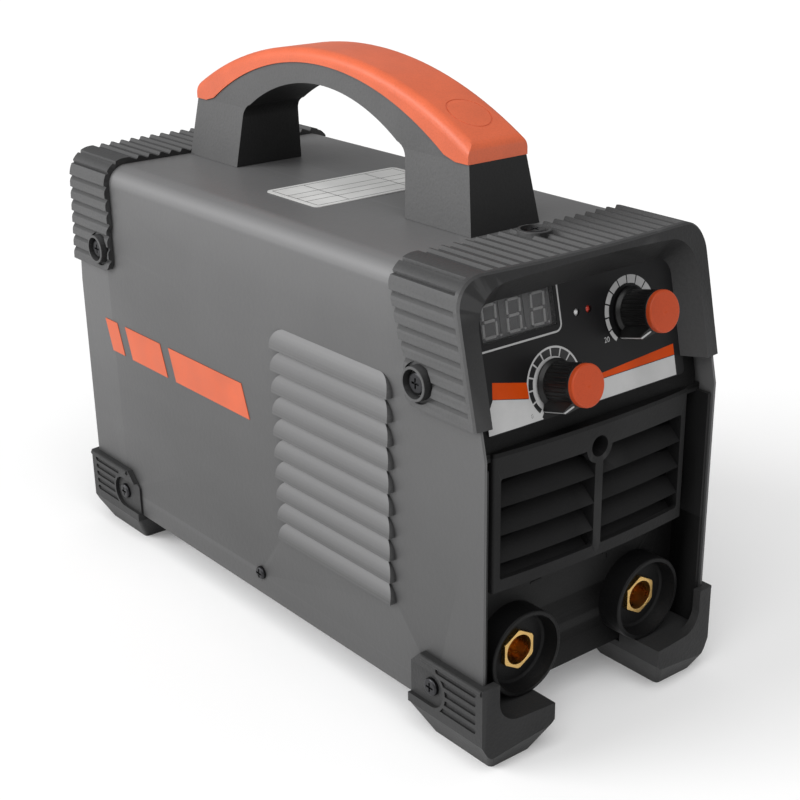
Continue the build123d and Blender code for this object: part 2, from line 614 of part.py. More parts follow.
def front_hood():
    half = CASE_W / 2 + HOOD_SKIN
    top = CASE_H + HOOD_SKIN
    rim = arched(half, top, ROOF_R + HOOD_SKIN, -10, 60, HOOD_Z0) & bowed_lean(0.0)
    nose = rim.edges().filter_by(lambda edge: edge.center().Y < 13.5 and edge.center().Z > HOOD_Z0 + 3)
    rim = chamfer(nose, RIM_BEVEL) - bowed_lean(RIM_DEPTH)
    ribs = hood_blank(HOOD_TOP_REAR) & bowed_lean(RIM_DEPTH - 0.5)
    shell = (ribs + rim) & side_trim(HOOD_TOP_REAR, 44.0)
    shell = shell - front_keepout() - rim_mouth()
    return finish_hood(shell, BOSS_Y, TOP_BOSS_FRONT)


def bowed_lean(setback):
    """Everything behind the hood's bowed, leaning front, set back by a distance."""
    half = CASE_W / 2 + HOOD_SKIN
    low = HOOD_Z0 - 5
    plan = bowed(RIM_Y + setback - 5 * LEAN_TAN, 110.0, half + 1)
    return leaning(plan, low, CASE_H + 10)


def front_keepout():
    """Space of the steel cover behind its leaning edge, less the room in front of the control face."""
    rise = CASE_H + 1 - KNEE_Z
    side = outline((-0.05, 100), (-0.05, KNEE_Z), (rise * LEAN_TAN - 0.05, KNEE_Z + rise),
                   (120, KNEE_Z + rise), (120, 100))
    case = arched(CASE_W / 2 + 0.05, CASE_H + 0.05, ROOF_R, -5, 110, 100)
    case = case & along_x(side, -CASE_W, CASE_W)
    room = arched(CASE_W / 2 - SHEET - 0.15, CASE_H - SHEET - 0.15, ROOF_R - SHEET, -5, 60, 90)
    return case - (room & on_control(Rectangle(400, 400), 0.6, 60))


def rim_mouth():
    """The opening inside the front rim: its sides splay outwards from the control face."""
    rise = (HOOD_LIP_Z - PANEL_Z0) / LEAN_COS
    sections = []
    for offset, grow in ((0.0, 0.0), (MOUTH_REACH, MOUTH_REACH * 0.72)):
        sketch = RectangleRounded(2 * (HOOD_LIP_W + grow), 2 * (rise + grow), 8.0 + grow)
        sections.append(CONTROL.offset(offset) * sketch)
    return loft(sections)


def rear_hood():
    """Drawn with its outer face near y = 0, then turned round to the rear."""
    rear = REAR_HOOD_L + HOOD_SKIN
    side_y = 2.4
    plan = bowed(side_y, 110.0, CASE_W / 2 + HOOD_SKIN + 1, REAR_BOW)
    behind = leaning(plan, HOOD_Z0 - 5, CASE_H + 10, REAR_TAN)
    shell = hood_blank(rear) & behind & side_trim(rear, 40.0)
    edge = HOOD_SKIN - KNEE_Z * REAR_TAN - 0.05
    case_edge = outline((edge + 100 * REAR_TAN, 100), (edge + 200 * REAR_TAN, 200), (120, 200), (120, 100))
    case = arched(CASE_W / 2 + 0.05, CASE_H + 0.05, ROOF_R, -5, 110, 100)
    shell -= case & along_x(case_edge, -CASE_W, CASE_W)
    shell -= arched(HOOD_LIP_W + 4, HOOD_LIP_Z + 4, 12.0, -20, 60, 100)
    shell = finish_hood(shell, BOSS_Y - 8 + HOOD_SKIN, CASE_L + HOOD_SKIN - TOP_BOSS_REAR)
    return Pos(0, CASE_L + HOOD_SKIN, 0) * mirror(shell, about=Plane.XZ)


# ---------------------------------------------------------------- feet
def foot(ledge_y):
    """Front left corner foot: tapered pad, ribbed side flange and a corner strip over a ledge."""
    x_out = -CASE_W / 2 - FOOT_SKIN
    x_in = x_out + FOOT_FRONT
    y_out = -FOOT_SKIN
    y_in = y_out + FOOT_SIDE
    pad = block(x_out, x_in, y_out - BOW, y_in, TAPER_Z, -0.1)
    base = Plane(origin=(0, 0, TAPER_Z), z_dir=(0, 0, -1), x_dir=(1, 0, 0))
    width = x_in - x_out
    length = y_in - (y_out - BOW)
    centre = (x_in + x_out) / 2, (y_in + y_out - BOW) / 2
    drop = FOOT_DROP + TAPER_Z
    wide = base * (Pos(centre[0], -centre[1]) * RectangleRounded(width, length, 2.0))
    narrow = base.offset(drop) * (Pos(centre[0], -centre[1]) *
                                  RectangleRounded(width - 2 * FOOT_TAPER, length - 2 * FOOT_TAPER, 2.0))
    pad = pad + loft([wide, narrow])
    flange = along_x(outline((y_out, TAPER_Z), (y_out, FOOT_TOP), (y_in - 8, FOOT_TOP),
                             (y_in, FOOT_TOP - 8), (y_in, TAPER_Z)), x_out, -CASE_W / 2 - 0.05)
    strip = block(x_out, x_out + 8.5, y_out - BOW, -0.1, TAPER_Z, FOOT_TOP)
    ledge = block(x_out, x_in, y_out - BOW, -0.1, TAPER_Z, LEDGE_Z)
    ledge += block(-CASE_W / 2 + SHEET + 0.1, x_in, -1, ledge_y, -0.1, LEDGE_Z)
    solid = pad + flange + strip + ledge
    solid = solid & along_z(bowed(y_out), -FOOT_DROP - 1, FOOT_TOP + 1)
    recess = along_x(Pos(30.4 + 20, 9.4) * RectangleRounded(58, 16.4, 8.0), x_out - 1, x_out + 1.9)
    grooves = []
    for index in range(5):
        z = 19.6 - index * 4.2
        grooves.append(along_x(Pos(13.5, z) * SlotOverall(25.0, 2.4), x_out - 1, x_out + 0.9))
    keep = rod_x(30.4, 9.4, 10.4, x_out - 2, x_out + 3)
    grooves = [groove - keep for groove in grooves]
    web = block(x_out + 8, x_out + 18.5, y_out - BOW, -0.1, LEDGE_Z - 0.5, LEDGE_Z + 10)
    web -= rod_y(x_out + 18.5, LEDGE_Z + 10, 10.0, -20, 10)
    web = web & along_z(bowed(y_out), LEDGE_Z - 1, LEDGE_Z + 11)
    bead = rod_y(x_out + 0.6, FOOT_TOP - 1.5, 1.5, y_out + 0.6, y_in - 9)
    solid = solid + web - recess - grooves + bead
    solid -= rod_x(30.0, 9.8, SCREW_R, -CASE_W, 0)
    return solid


def feet():
    """The four feet: mirror images of one another across the middle planes."""
    front = foot(BASE_Y - 0.2)
    rear = Pos(0, CASE_L, 0) * mirror(foot(CASE_L - REAR_Y - 0.2), about=Plane.XZ)
    return {
        "foot_front_left": front,
        "foot_front_right": flip_x(front),
        "foot_rear_left": rear,
        "foot_rear_right": flip_x(rear),
    }


# ---------------------------------------------------------------- carrying handle
def arc_z(radius, top, y):
    """Height of an arc about the handle's middle that peaks at top."""
    return top - radius + math.sqrt(radius ** 2 - (y - HANDLE_MID) ** 2)


def handle_taper(half_top):
    """Cross slab that narrows from the legs' foot to the grip."""
    low = LEG_HALF_W
    section = outline((-low, CASE_H - 1), (low, CASE_H - 1), (half_top, GRIP_Z), (half_top, 260),
                      (-half_top, 260), (-half_top, GRIP_Z))
    return along_y(section, 0, CASE_L)


def grip_ends():
    return HANDLE_Y[0] + GRIP_END, HANDLE_Y[1] - GRIP_END


def handle_frame():
    front, rear = HANDLE_Y
    grip_front, grip_rear = grip_ends()
    reach = 86.5
    start, stop = HANDLE_MID - reach, HANDLE_MID + reach
    z_arc = arc_z(GRIP_ARC_R, GRIP_ARC_TOP, start)
    inner_f, inner_r = front + LEG_L, rear - LEG_L
    span_f, span_r = inner_f + 5.5, inner_r - 5.5
    spring_z = 214.0
    edges = [
        Polyline((front, CASE_H + 0.05), (grip_front, GRIP_Z - 0.4), (grip_front + 8, GRIP_Z - 0.4),
                 (start, z_arc)),
        ThreePointArc((start, z_arc), (HANDLE_MID, GRIP_ARC_TOP), (stop, z_arc)),
        Polyline((stop, z_arc), (grip_rear - 8, GRIP_Z - 0.4), (grip_rear, GRIP_Z - 0.4), (rear, CASE_H + 0.05),
                 (inner_r, CASE_H + 0.05), (inner_r - 3.0, spring_z - 6)),
        ThreePointArc((inner_r - 3.0, spring_z - 6), (inner_r - 4.6, spring_z - 1.6),
                      (span_r - 3.5, spring_z + 1.2)),
        ThreePointArc((span_r - 3.5, spring_z + 1.2), (HANDLE_MID, ARCH_UNDER), (span_f + 3.5, spring_z + 1.2)),
        ThreePointArc((span_f + 3.5, spring_z + 1.2), (inner_f + 4.6, spring_z - 1.6),
                      (inner_f + 3.0, spring_z - 6)),
        Polyline((inner_f + 3.0, spring_z - 6), (inner_f, CASE_H + 0.05), (front, CASE_H + 0.05)),
    ]
    frame = along_x(make_face(edges), -LEG_HALF_W, LEG_HALF_W) & handle_taper(ARCH_HALF_W)
    pockets = []
    for x, y in handle_screws():
        pockets.append(rod_z(x, y, SCREW_R - 0.1, 150, CASE_H + 14))
    return frame - pockets


def handle_grip():
    """The coloured soft strip over the arch, crowned and rounded along its edges."""
    front, rear = grip_ends()
    reach = 86.5
    start, stop = HANDLE_MID - reach, HANDLE_MID + reach
    z_arc = arc_z(GRIP_ARC_R, GRIP_ARC_TOP, start) + 0.05
    crown_r = 210.0
    z_end = arc_z(crown_r, GRIP_CROWN, front)
    edges = [
        ThreePointArc((stop, z_arc), (HANDLE_MID, GRIP_ARC_TOP + 0.05), (start, z_arc)),
        Polyline((start, z_arc), (front + 8, GRIP_Z - 0.35), (front, GRIP_Z - 0.35), (front, z_end)),
        ThreePointArc((front, z_end), (HANDLE_MID, GRIP_CROWN), (rear, z_end)),
        Polyline((rear, z_end), (rear, GRIP_Z - 0.35), (rear - 8, GRIP_Z - 0.35), (stop, z_arc)),
    ]
    half = ARCH_HALF_W + 0.6
    grip = along_x(make_face(edges), -half, half)
    top_face = grip.faces().sort_by(Axis.Z)[-1]
    grip = fillet(top_face.edges(), 4.6)
    ring_y = 84.0
    ring_z = arc_z(crown_r, GRIP_CROWN, ring_y)
    ring = Pos(0, ring_y, ring_z) * (Cylinder(9.6, 60) - Cylinder(9.0, 61))
    skin = along_x(make_face([
        ThreePointArc((front, z_end - 0.35), (HANDLE_MID, GRIP_CROWN - 0.35), (rear, z_end - 0.35)),
        Polyline((rear, z_end - 0.35), (rear, z_end + 40), (front, z_end + 40), (front, z_end - 0.35)),
    ]), -half, half)
    return grip - (ring & skin)


def handle_screws():
    front, rear = HANDLE_Y
    return [(x, y) for y in (front + 21, rear - 21) for x in (-9.0, 9.0)]


# ---------------------------------------------------------------- rear panel, fan, switch, gland
def rear_panel():
    half = CASE_W / 2 - SHEET - 0.4
    plate = along_y(Pos(0, 0) * RectangleRounded(2 * half, 2 * (CASE_H - SHEET - 0.8), ROOF_R - SHEET),
                    REAR_Y - REAR_T, REAR_Y)
    plate = plate & block(-half, half, REAR_Y - 5, REAR_Y + 5, 2.0, CASE_H)
    cuts = [rod_y(0, FAN_Z, FAN_BORE - 0.5, REAR_Y - 9, REAR_Y + 9)]
    cuts += [rod_y(x, z, 2.1, REAR_Y - 9, REAR_Y + 9) for x, z in fan_corners()]
    x, z, width, height = SWITCH
    cuts.append(block(x - width / 2, x + width / 2, REAR_Y - 9, REAR_Y + 9, z - height / 2, z + height / 2))
    cuts.append(rod_y(GLAND[0], GLAND[1], GLAND_R, REAR_Y - 9, REAR_Y + 9))
    cuts.append(rod_y(STUD[0], STUD[1], 3.05, REAR_Y - 9, REAR_Y + 9))
    lips = both_sides(block(-half, -half + 1.5, REAR_Y - 28, REAR_Y - REAR_T, 30, 155))
    cuts.append(rod_x(CASE_L - BOSS_Y + 8, BOSS_Z, SCREW_R - 0.05, -CASE_W, CASE_W))
    return plate + lips - cuts


def fan_frame():
    """Square fan housing with its motor plate held by four struts on the inner side."""
    half = FAN_SIZE / 2
    y1 = REAR_Y - REAR_T - 0.1
    y0 = y1 - FAN_DEEP
    frame = along_y(Pos(0, FAN_Z) * RectangleRounded(FAN_SIZE, FAN_SIZE, 4), y0, y1)
    frame -= rod_y(0, FAN_Z, FAN_BORE, y0 - 1, y1 + 1)
    groove = along_y(Pos(0, FAN_Z) * Rectangle(FAN_SIZE + 2, FAN_SIZE + 2), y0 + 4, y1 - 4)
    groove -= rod_y(0, FAN_Z, FAN_BORE + 1.6, y0, y1)
    groove = groove - [rod_y(x, z, 4.2, y0, y1) for x, z in fan_corners()]
    frame = frame - groove
    struts = []
    for angle in (45, 135, 225, 315):
        arm = Pos(0, 0, FAN_BORE / 2 + 3) * Box(4, 2.5, FAN_BORE - 4)
        struts.append(Pos(0, y0 + 1.25, FAN_Z) * Rot(0, angle, 0) * arm)
    frame = frame + struts + rod_y(0, FAN_Z, FAN_HUB, y0, y0 + 2.5)
    frame = frame + rod_y(0, FAN_Z, 3.4, y0, y0 + 10)
    holes = [rod_y(x, z, 2.1, y0 - 1, y1 + 1) for x, z in fan_corners()]
    return frame - holes - rod_y(0, FAN_Z, 1.55, y0 - 1, y0 + 30)


def fan_rotor():
    """Seven-blade impeller on its shaft."""
    y1 = REAR_Y - REAR_T - 0.1
    y0 = y1 - FAN_DEEP
    hub = rod_y(0, FAN_Z, FAN_HUB, y0 + 4, y1 - 2)
    hub = fillet(hub.edges().filter_by(GeomType.CIRCLE).sort_by(Axis.Y)[-1], 1.5)
    hub -= rod_y(0, FAN_Z, FAN_HUB - 1.8, y0 + 3, y1 - 4)
    blades = []
    for index in range(FAN_BLADES):
        root = Plane(origin=(0, 0, FAN_HUB - 0.6), x_dir=(0, 1, 0), z_dir=(0, 0, 1))
        tip = Plane(origin=(0, 0, FAN_BORE - 1.0), x_dir=(0, 1, 0), z_dir=(0, 0, 1))
        low = root * (Rot(0, 0, 38) * Rectangle(19, 1.6))
        high = tip * (Rot(0, 0, 24) * Rectangle(20, 1.1))
        blade = loft([low, high])
        blades.append(Pos(0, (y0 + y1) / 2 + 1, FAN_Z) * Rot(0, index * 360 / FAN_BLADES, 0) * blade)
    trim = rod_y(0, FAN_Z, FAN_BORE - 0.8, y0 + 4, y1 - 2)
    blades = [blade & trim for blade in blades]
    shaft = rod_y(0, FAN_Z, 1.5, y0 + 0.5, y1 - 3)
    return hub + blades + shaft


def fan_corners():
    return [(sx * FAN_PITCH / 2, FAN_Z + sz * FAN_PITCH / 2) for sx in (-1, 1) for sz in (-1, 1)]


def fan_guard():
    """Wire guard outside the rear panel: rings on four spokes with screw eyes."""
    wire_r = 0.9
    y = REAR_Y + 1.7
    guard = Part()
    for radius in (9.0, 16.5, 24.0, 31.5, 39.0):
        guard = guard + Pos(0, y, FAN_Z) * Rot(90, 0, 0) * Torus(radius, wire_r)
    for angle in (45, 135, 225, 315):
        spoke = Pos(0, 0, 28.5) * Box(2.2, 1.2, 42)
        guard = guard + Pos(0, y - 0.35, FAN_Z) * Rot(0, angle, 0) * spoke
    for x, z in fan_corners():
        guard = guard + rod_y(x, z, 4.2, REAR_Y + 0.05, REAR_Y + 2.4)
    return guard - [rod_y(x, z, 2.1, REAR_Y - 1, REAR_Y + 9) for x, z in fan_corners()]


def fan_screws():
    bolt = screw(29, radius=1.95, head_r=3.6, head_h=2.0)
    return [facing((x, REAR_Y + 2.45, z), (0, 1, 0)) * bolt for x, z in fan_corners()]


def switch_body():
    """Rocker switch housing: bezel, snap-in body and terminal blades."""
    x, z, width, height = SWITCH
    bezel = along_y(Pos(x, z) * RectangleRounded(width + 4, height + 4, 2), REAR_Y + 0.02, REAR_Y + 2.2)
    bezel = chamfer(bezel.faces().sort_by(Axis.Y)[-1].edges(), 0.6)
    body = block(x - width / 2 + 0.2, x + width / 2 - 0.2, REAR_Y - 22, REAR_Y + 0.5,
                 z - height / 2 + 0.2, z + height / 2 - 0.2)
    well = block(x - width / 2 + 2.0, x + width / 2 - 2.0, REAR_Y - 12, REAR_Y + 5,
                 z - height / 2 + 2.0, z + height / 2 - 2.0)
    blades = []
    for dx in (-5, 5):
        for dz in (-9, 0, 9):
            blades.append(block(x + dx - 0.4, x + dx + 0.4, REAR_Y - 31, REAR_Y - 22, z + dz - 3, z + dz + 3))
    trunnion = rod_x(REAR_Y - 3.0, z, 1.55, x - width, x + width)
    return (bezel + body + blades) - well - (trunnion & block(x - 10.4, x + 10.4, 0, 400, 0, 200))


def switch_rocker():
    """Rocker key, tipped to its off side, on two short trunnions."""
    x, z, width, height = SWITCH
    half = height / 2 - 2.7
    y0 = REAR_Y - 3.0
    face = [
        Polyline((y0 - 5.0, z - 5.5), (y0 - 5.0, z + 5.5)),
        Polyline((y0 - 5.0, z + 5.5), (y0 + 1.5, z + half), (y0 + 5.2, z + half - 0.3)),
        ThreePointArc((y0 + 5.2, z + half - 0.3), (y0 + 3.3, z), (y0 + 5.2, z - half + 0.3)),
        Polyline((y0 + 5.2, z - half + 0.3), (y0 + 1.5, z - half), (y0 - 5.0, z - 5.5)),
    ]
    key = along_x(make_face(face), x - width / 2 + 2.4, x + width / 2 - 2.4)
    key = key + rod_x(y0, z, 1.5, x - width / 2 + 1.0, x + width / 2 - 1.0)
    tip = Axis((x, y0, z), (1, 0, 0))
    return key.rotate(tip, -ROCKER_TURN / 2)


def cable_gland():
    """Plastic gland: flange hexagon, threaded stem through the panel and domed clamp cap."""
    x, z = GLAND
    stem = rod_y(x, z, GLAND_R - 0.1, REAR_Y - 10, REAR_Y + 3)
    hexagon = along_y(Pos(x, z) * RegularPolygon(11.5, 6), REAR_Y + 0.05, REAR_Y + 6)
    cap = rod_y(x, z, 10.0, REAR_Y + 6, REAR_Y + 23.5)
    cap = fillet(cap.edges().filter_by(GeomType.CIRCLE).sort_by(Axis.Y)[-1], 5.0)
    flutes = []
    for index in range(12):
        angle = math.radians(index * 30)
        flute_x, flute_z = x + 10.6 * math.cos(angle), z + 10.6 * math.sin(angle)
        flutes.append(rod_y(flute_x, flute_z, 1.3, REAR_Y + 7, REAR_Y + 17))
    return (stem + hexagon + cap) - flutes - rod_y(x, z, 4.3, REAR_Y - 12, REAR_Y + 30)


def gland_nut():
    x, z = GLAND
    nut = along_y(Pos(x, z) * RegularPolygon(11.5, 6), REAR_Y - REAR_T - 5.1, REAR_Y - REAR_T - 0.1)
    return nut - rod_y(x, z, GLAND_R - 0.05, REAR_Y - 20, REAR_Y)


def ground_stud():
    """Earth bolt through the rear panel with washer, nut and wing nut as separate solids."""
    x, z = STUD
    y_in = REAR_Y - REAR_T - 0.05
    bolt = rod_y(x, z, 3.0, y_in - 4, REAR_Y + 14)
    bolt = bolt + along_y(Pos(x, z) * RegularPolygon(5.6, 6), y_in - 4, y_in)
    washer = rod_y(x, z, 6.0, REAR_Y + 0.05, REAR_Y + 1.2) - rod_y(x, z, 3.1, 0, 400)
    nut = along_y(Pos(x, z) * RegularPolygon(5.6, 6), REAR_Y + 1.3, REAR_Y + 6.0) - rod_y(x, z, 3.05, 0, 400)
    wings = rod_y(x, z, 5.0, REAR_Y + 6.1, REAR_Y + 12.5)
    for side in (-1, 1):
        wing = Pos(x + side * 8.0, REAR_Y + 9.3, z + 1.0) * Rot(0, side * 12, 0) * Box(8.5, 2.2, 7.0)
        wings = wings + fillet(wing.edges().filter_by(Axis.Y), 0.9)
    return [bolt, washer, nut, wings - rod_y(x, z, 3.05, 0, 400)]


# ---------------------------------------------------------------- electronics
def main_board():
    x0, x1, y0, y1 = BOARD
    board = block(x0, x1, y0, y1, BOARD_Z, BOARD_Z + 1.6)
    return board - [rod_z(x, y, SCREW_R, BOARD_Z - 1, BOARD_Z + 3) for x, y in BOARD_POSTS]


def board_posts():
    posts = []
    for x, y in BOARD_POSTS:
        post = along_z(Pos(x, y) * RegularPolygon(4.0, 6), 1.55, BOARD_Z - 0.05)
        posts.append(post - rod_z(x, y, SCREW_R - 0.2, 10, BOARD_Z + 1))
    return posts


def board_screws():
    return [Pos(x, y, BOARD_TOP) * screw(9, radius=SCREW_R - 0.25, head_r=3.0) for x, y in BOARD_POSTS]


def heat_sink():
    """Extruded aluminium heat sink: upright fins on a thick web, on the right side of the board."""
    x0, x1 = SINK_X
    y0, y1 = SINK_Y
    fins = 10
    z1 = BOARD_TOP + 42.0
    web = block(x0, x1, y0, y1, BOARD_TOP + 18, BOARD_TOP + 23)
    pitch = (x1 - x0 - 1.6) / (fins - 1)
    ribs = [block(x0 + i * pitch, x0 + i * pitch + 1.6, y0, y1, BOARD_TOP, z1) for i in range(fins)]
    return web + ribs


def power_transistors():
    """Flat power packages along the outer flanks of both heat sinks."""
    bodies = []
    x = SINK_X[1] + 2.6
    for y in (164.0, 184.0, 204.0, 224.0):
        package = block(x - 2.5, x + 2.5, y, y + 15.5, BOARD_TOP + 5, BOARD_TOP + 25)
        leads = [block(x - 0.4, x + 0.4, y + dy - 0.6, y + dy + 0.6, BOARD_TOP, BOARD_TOP + 6)
                 for dy in (2.4, 7.9, 13.4)]
        bodies += both_sides(package + leads)
    return bodies


def transformer_core():
    """Ferrite core pair with its middle limb inside the winding."""
    half, y0, y1, tall = CORE
    z0 = BOARD_TOP + 4
    core = block(-half, half, y0, y1, z0, z0 + tall)
    window = block(9.2, 18.5, y0 + 9, y1 - 9, z0 - 1, z0 + tall + 1)
    return core - both_sides(window)


def transformer_winding():
    """Copper winding round the core's middle limb."""
    y0, y1, tall = CORE[1] + 9.3, CORE[2] - 9.3, CORE[3]
    outer = block(-18.2, 18.2, y0, y1, BOARD_TOP, BOARD_TOP + tall + 11)
    outer = fillet(outer.edges().filter_by(Axis.Y), 5)
    return outer - block(-9.25, 9.25, y0 - 3, y1 + 3, BOARD_TOP + 3.95, BOARD_TOP + tall + 4.05)


def choke_core():
    ring = Pos(0, CHOKE_Y, BOARD_TOP + 9.6) * (Cylinder(14, 16) - Cylinder(7, 17))
    return fillet(ring.edges().filter_by(GeomType.CIRCLE), 1.2)


def choke_winding():
    """Flat copper turns round the ring core."""
    turn = Box(10.2, 2.4, 19.2) - Box(7.6, 3, 16.1)
    place = Pos(0, CHOKE_Y, BOARD_TOP + 9.6)
    return [place * Rot(0, 0, index * 30) * Pos(10.5, 0, 0) * turn for index in range(12)]


def bulk_capacitors():
    """Four tall electrolytic cans with scored tops, beside the transformer."""
    cans = []
    for y in (98.0, 126.0):
        can = rod_z(42, y, 12.5, BOARD_TOP, BOARD_TOP + 45)
        can = fillet(can.edges().filter_by(GeomType.CIRCLE).sort_by(Axis.Z)[-1], 1.5)
        groove = Pos(42, y, BOARD_TOP + 40) * Torus(12.9, 0.9)
        score = [Pos(42, y, BOARD_TOP + 45) * Rot(0, 0, turn) * Box(16, 0.8, 0.8) for turn in (0, 60, 120)]
        cans += both_sides(can - groove - score)
    return cans


def rectifier():
    """Bridge rectifier standing between the heat sinks."""
    body = block(-10, 10, 186, 194, BOARD_TOP + 5, BOARD_TOP + 27)
    leads = [block(x - 0.6, x + 0.6, 189.4, 190.6, BOARD_TOP, BOARD_TOP + 6) for x in (-7.5, -2.5, 2.5, 7.5)]
    return body + leads - rod_y(0, BOARD_TOP + 18, 1.8, 180, 200)


def busbars():
    """Folded copper bars from the sockets' rear ends over the main board."""
    x, z = SOCKET_X, SOCKET_Z
    bar = block(x - 7, x + 7, 40.05, 42.05, z - 8, BOARD_TOP + 8)
    bar = bar + block(x - 7, x + 7, 40.05, 72, BOARD_TOP + 6, BOARD_TOP + 8)
    bar = bar + block(x - 7, x + 7, 70, 72, BOARD_TOP, BOARD_TOP + 8)
    return both_sides(bar - rod_y(x, z, 3.1, 30, 50))


def busbar_screws():
    head = facing((SOCKET_X, 42.1, SOCKET_Z), (0, 1, 0))
    bolt = RegularPolygon(5.0, 6)
    shank = Cylinder(3.0, 9.0, align=(Align.CENTER, Align.CENTER, Align.MAX))
    solid = head * (extrude(bolt, amount=4.0) + shank)
    return both_sides(solid)


def control_board():
    """Board behind the control face that carries the potentiometers, display and lamps."""
    board = on_control(Pos(0, 31) * Rectangle(104, 46), -15.2, -13.55)
    chips = [on_control(Pos(x, s) * Rectangle(w, h), -17.4, -15.2)
             for x, s, w, h in ((-20, 40, 14, 14), (10, 24, 10, 6), (36, 22, 6, 12), (-40, 20, 8, 8))]
    return board + chips


def front_brace():
    """Folded steel angle behind the front moulding that takes its middle screw."""
    y0 = BASE_Y + PANEL_T + 0.1
    brace = block(-58, 58, y0, y0 + 1.5, 98, 113) + block(-58, 58, y0, y0 + 14, 96.5, 98)
    return brace - rod_y(0, FRONT_SCREW_Z, SCREW_R - 0.05, 0, 60)


def wire(radius, *points):
    """A round cable that follows points smoothly."""
    path = Spline(*points)
    start = Plane(origin=path @ 0, z_dir=path % 0)
    return sweep(start * Circle(radius), path=path)


def supply_wires():
    """Leads from the gland to the switch and from the switch down to the board."""
    gx, gz = GLAND
    sx, sz = SWITCH[0], SWITCH[1]
    y = REAR_Y
    return [
        wire(WIRE_R, (gx - 1.7, y - 12, gz), (gx - 1.7, y - 18, gz), (gx - 6, y - 40, gz - 2),
             (0, y - 52, gz), (sx + 5, y - 44, sz + 10), (sx + 5, y - 31.5, sz + 9)),
        wire(WIRE_R, (gx + 1.7, y - 12, gz), (gx + 1.7, y - 18, gz), (gx - 2, y - 45, gz + 4),
             (0, y - 58, gz + 6), (sx - 5, y - 46, sz + 10), (sx - 5, y - 31.5, sz + 9)),
        wire(WIRE_R, (sx + 5, y - 31.5, sz - 3), (sx + 6, y - 42, sz - 8), (sx + 24, y - 50, 95),
             (4, y - 54, 60), (4, y - 54, BOARD_TOP + 0.5)),
        wire(WIRE_R, (sx - 5, y - 31.5, sz - 3), (sx - 4, y - 44, sz - 8), (sx + 18, y - 56, 95),
             (-4, y - 54, 60), (-4, y - 54, BOARD_TOP + 0.5)),
    ]


def ribbon_cable():
    """Flat cable from the control board down to the main board."""
    y_top, z_top = 27.3, 131.0
    strip = outline((y_top, z_top), (y_top + 8, z_top - 4), (y_top + 20, 80), (52, 60), (52, BOARD_TOP),
                    (53, BOARD_TOP), (53, 60.5), (y_top + 21, 80.5), (y_top + 9, z_top - 3.2),
                    (y_top + 0.4, z_top + 1))
    return along_x(strip, -28.5, -16.5)


# ---------------------------------------------------------------- stickers and screws
def roof_label():
    """Blank self-adhesive plate on the roof ahead of the handle's middle."""
    return along_z(Pos(0.5, 162) * RectangleRounded(74, 40, 3), CASE_H + 0.02, CASE_H + 0.35)


def side_graphics():
    """Plain slanted bars stuck on both sides of the cover."""
    bars = []
    for index, (start, length) in enumerate(((160, 64), (232, 34), (274, 12))):
        low, high = 88.0, 104.0
        lean = (high - low) * 0.35
        stop = start + length
        bar = outline((start, low), (stop, low), (stop + lean, high), (start + lean, high))
        bars += both_sides(along_x(bar, -CASE_W / 2 - 0.3, -CASE_W / 2 - 0.02))
    return bars


def side_screws():
    """Screws through the cover's lower edge into the tray, one on each side."""
    return both_sides(facing((CASE_W / 2 + 0.05, CASE_L / 2, 11.3), (1, 0, 0)) * screw(8))


def foot_screws():
    """Screws through the feet's recesses and the cover into the tray."""
    depth = CASE_W / 2 + FOOT_SKIN - 1.85
    screws = []
    for y in (30.0, CASE_L - 30.0):
        screws += both_sides(facing((depth, y, 9.8), (1, 0, 0)) * screw(9, head_r=4.0, head_h=1.8))
    return screws


def hood_screws():
    depth = CASE_W / 2 + HOOD_SKIN - 1.55
    screws = []
    for y in (BOSS_Y, CASE_L - BOSS_Y + 8):
        screws += both_sides(facing((depth, y, BOSS_Z), (1, 0, 0)) * screw(9, head_r=4.7, head_h=2.6))
    for y in (TOP_BOSS_FRONT, TOP_BOSS_REAR):
        screws.append(Pos(0, y, CASE_H + HOOD_SKIN - 1.35) * screw(9, head_r=4.7, head_h=2.4))
    return screws


def front_screw():
    seat_y = FRONT_SCREW_SEAT - 0.05
    return facing((0, seat_y, FRONT_SCREW_Z), (0, -1, 0)) * screw(12, head_r=3.8, head_h=2.2)


def handle_bolts():
    """Screws from inside the roof up into the handle's legs."""
    place = CASE_H - SHEET - 0.05
    return [facing((x, y, place), (0, 0, -1)) * screw(13, radius=SCREW_R - 0.15) for x, y in handle_screws()]


# ---------------------------------------------------------------- write every node
write_node("cover_shell", cover_shell())
write_node("base_tray", base_tray())
write_node("front_panel", front_panel())
write_node("front_brace", front_brace())
write_node("control_overlay", control_overlay())
write_node("display_window", display_window())
write_node("display_module", display_module())
write_node("indicator_lamps", *indicator_leds())
write_node("control_board", control_board())
write_node("potentiometers", potentiometer(*DIAL_ARC), potentiometer(*DIAL_CURRENT))
for label, (dial_x, dial_s) in (("arc", DIAL_ARC), ("current", DIAL_CURRENT)):
    write_node(f"shaft_{label}", pot_shaft(dial_x, dial_s))
    write_node(f"knob_{label}", knob_body(dial_x, dial_s))
    write_node(f"knob_{label}_pointer", knob_pointer(dial_x, dial_s))
    write_node(f"knob_{label}_cap", knob_cap(dial_x, dial_s))
for label, side in (("negative", -1), ("positive", 1)):
    write_node(f"socket_body_{label}", socket_body(side))
    write_node(f"socket_insert_{label}", socket_insert(side))
write_node("socket_nuts", *socket_nuts())
write_node("front_hood", front_hood())
write_node("rear_hood", rear_hood())
for label, solid in feet().items():
    write_node(label, solid)
write_node("handle_frame", handle_frame())
write_node("handle_grip", handle_grip())
write_node("rear_panel", rear_panel())
write_node("fan_frame", fan_frame())
write_node("fan_rotor", fan_rotor())
write_node("fan_guard", fan_guard())
write_node("fan_screws", *fan_screws())
write_node("switch_body", switch_body())
write_node("switch_rocker", switch_rocker())
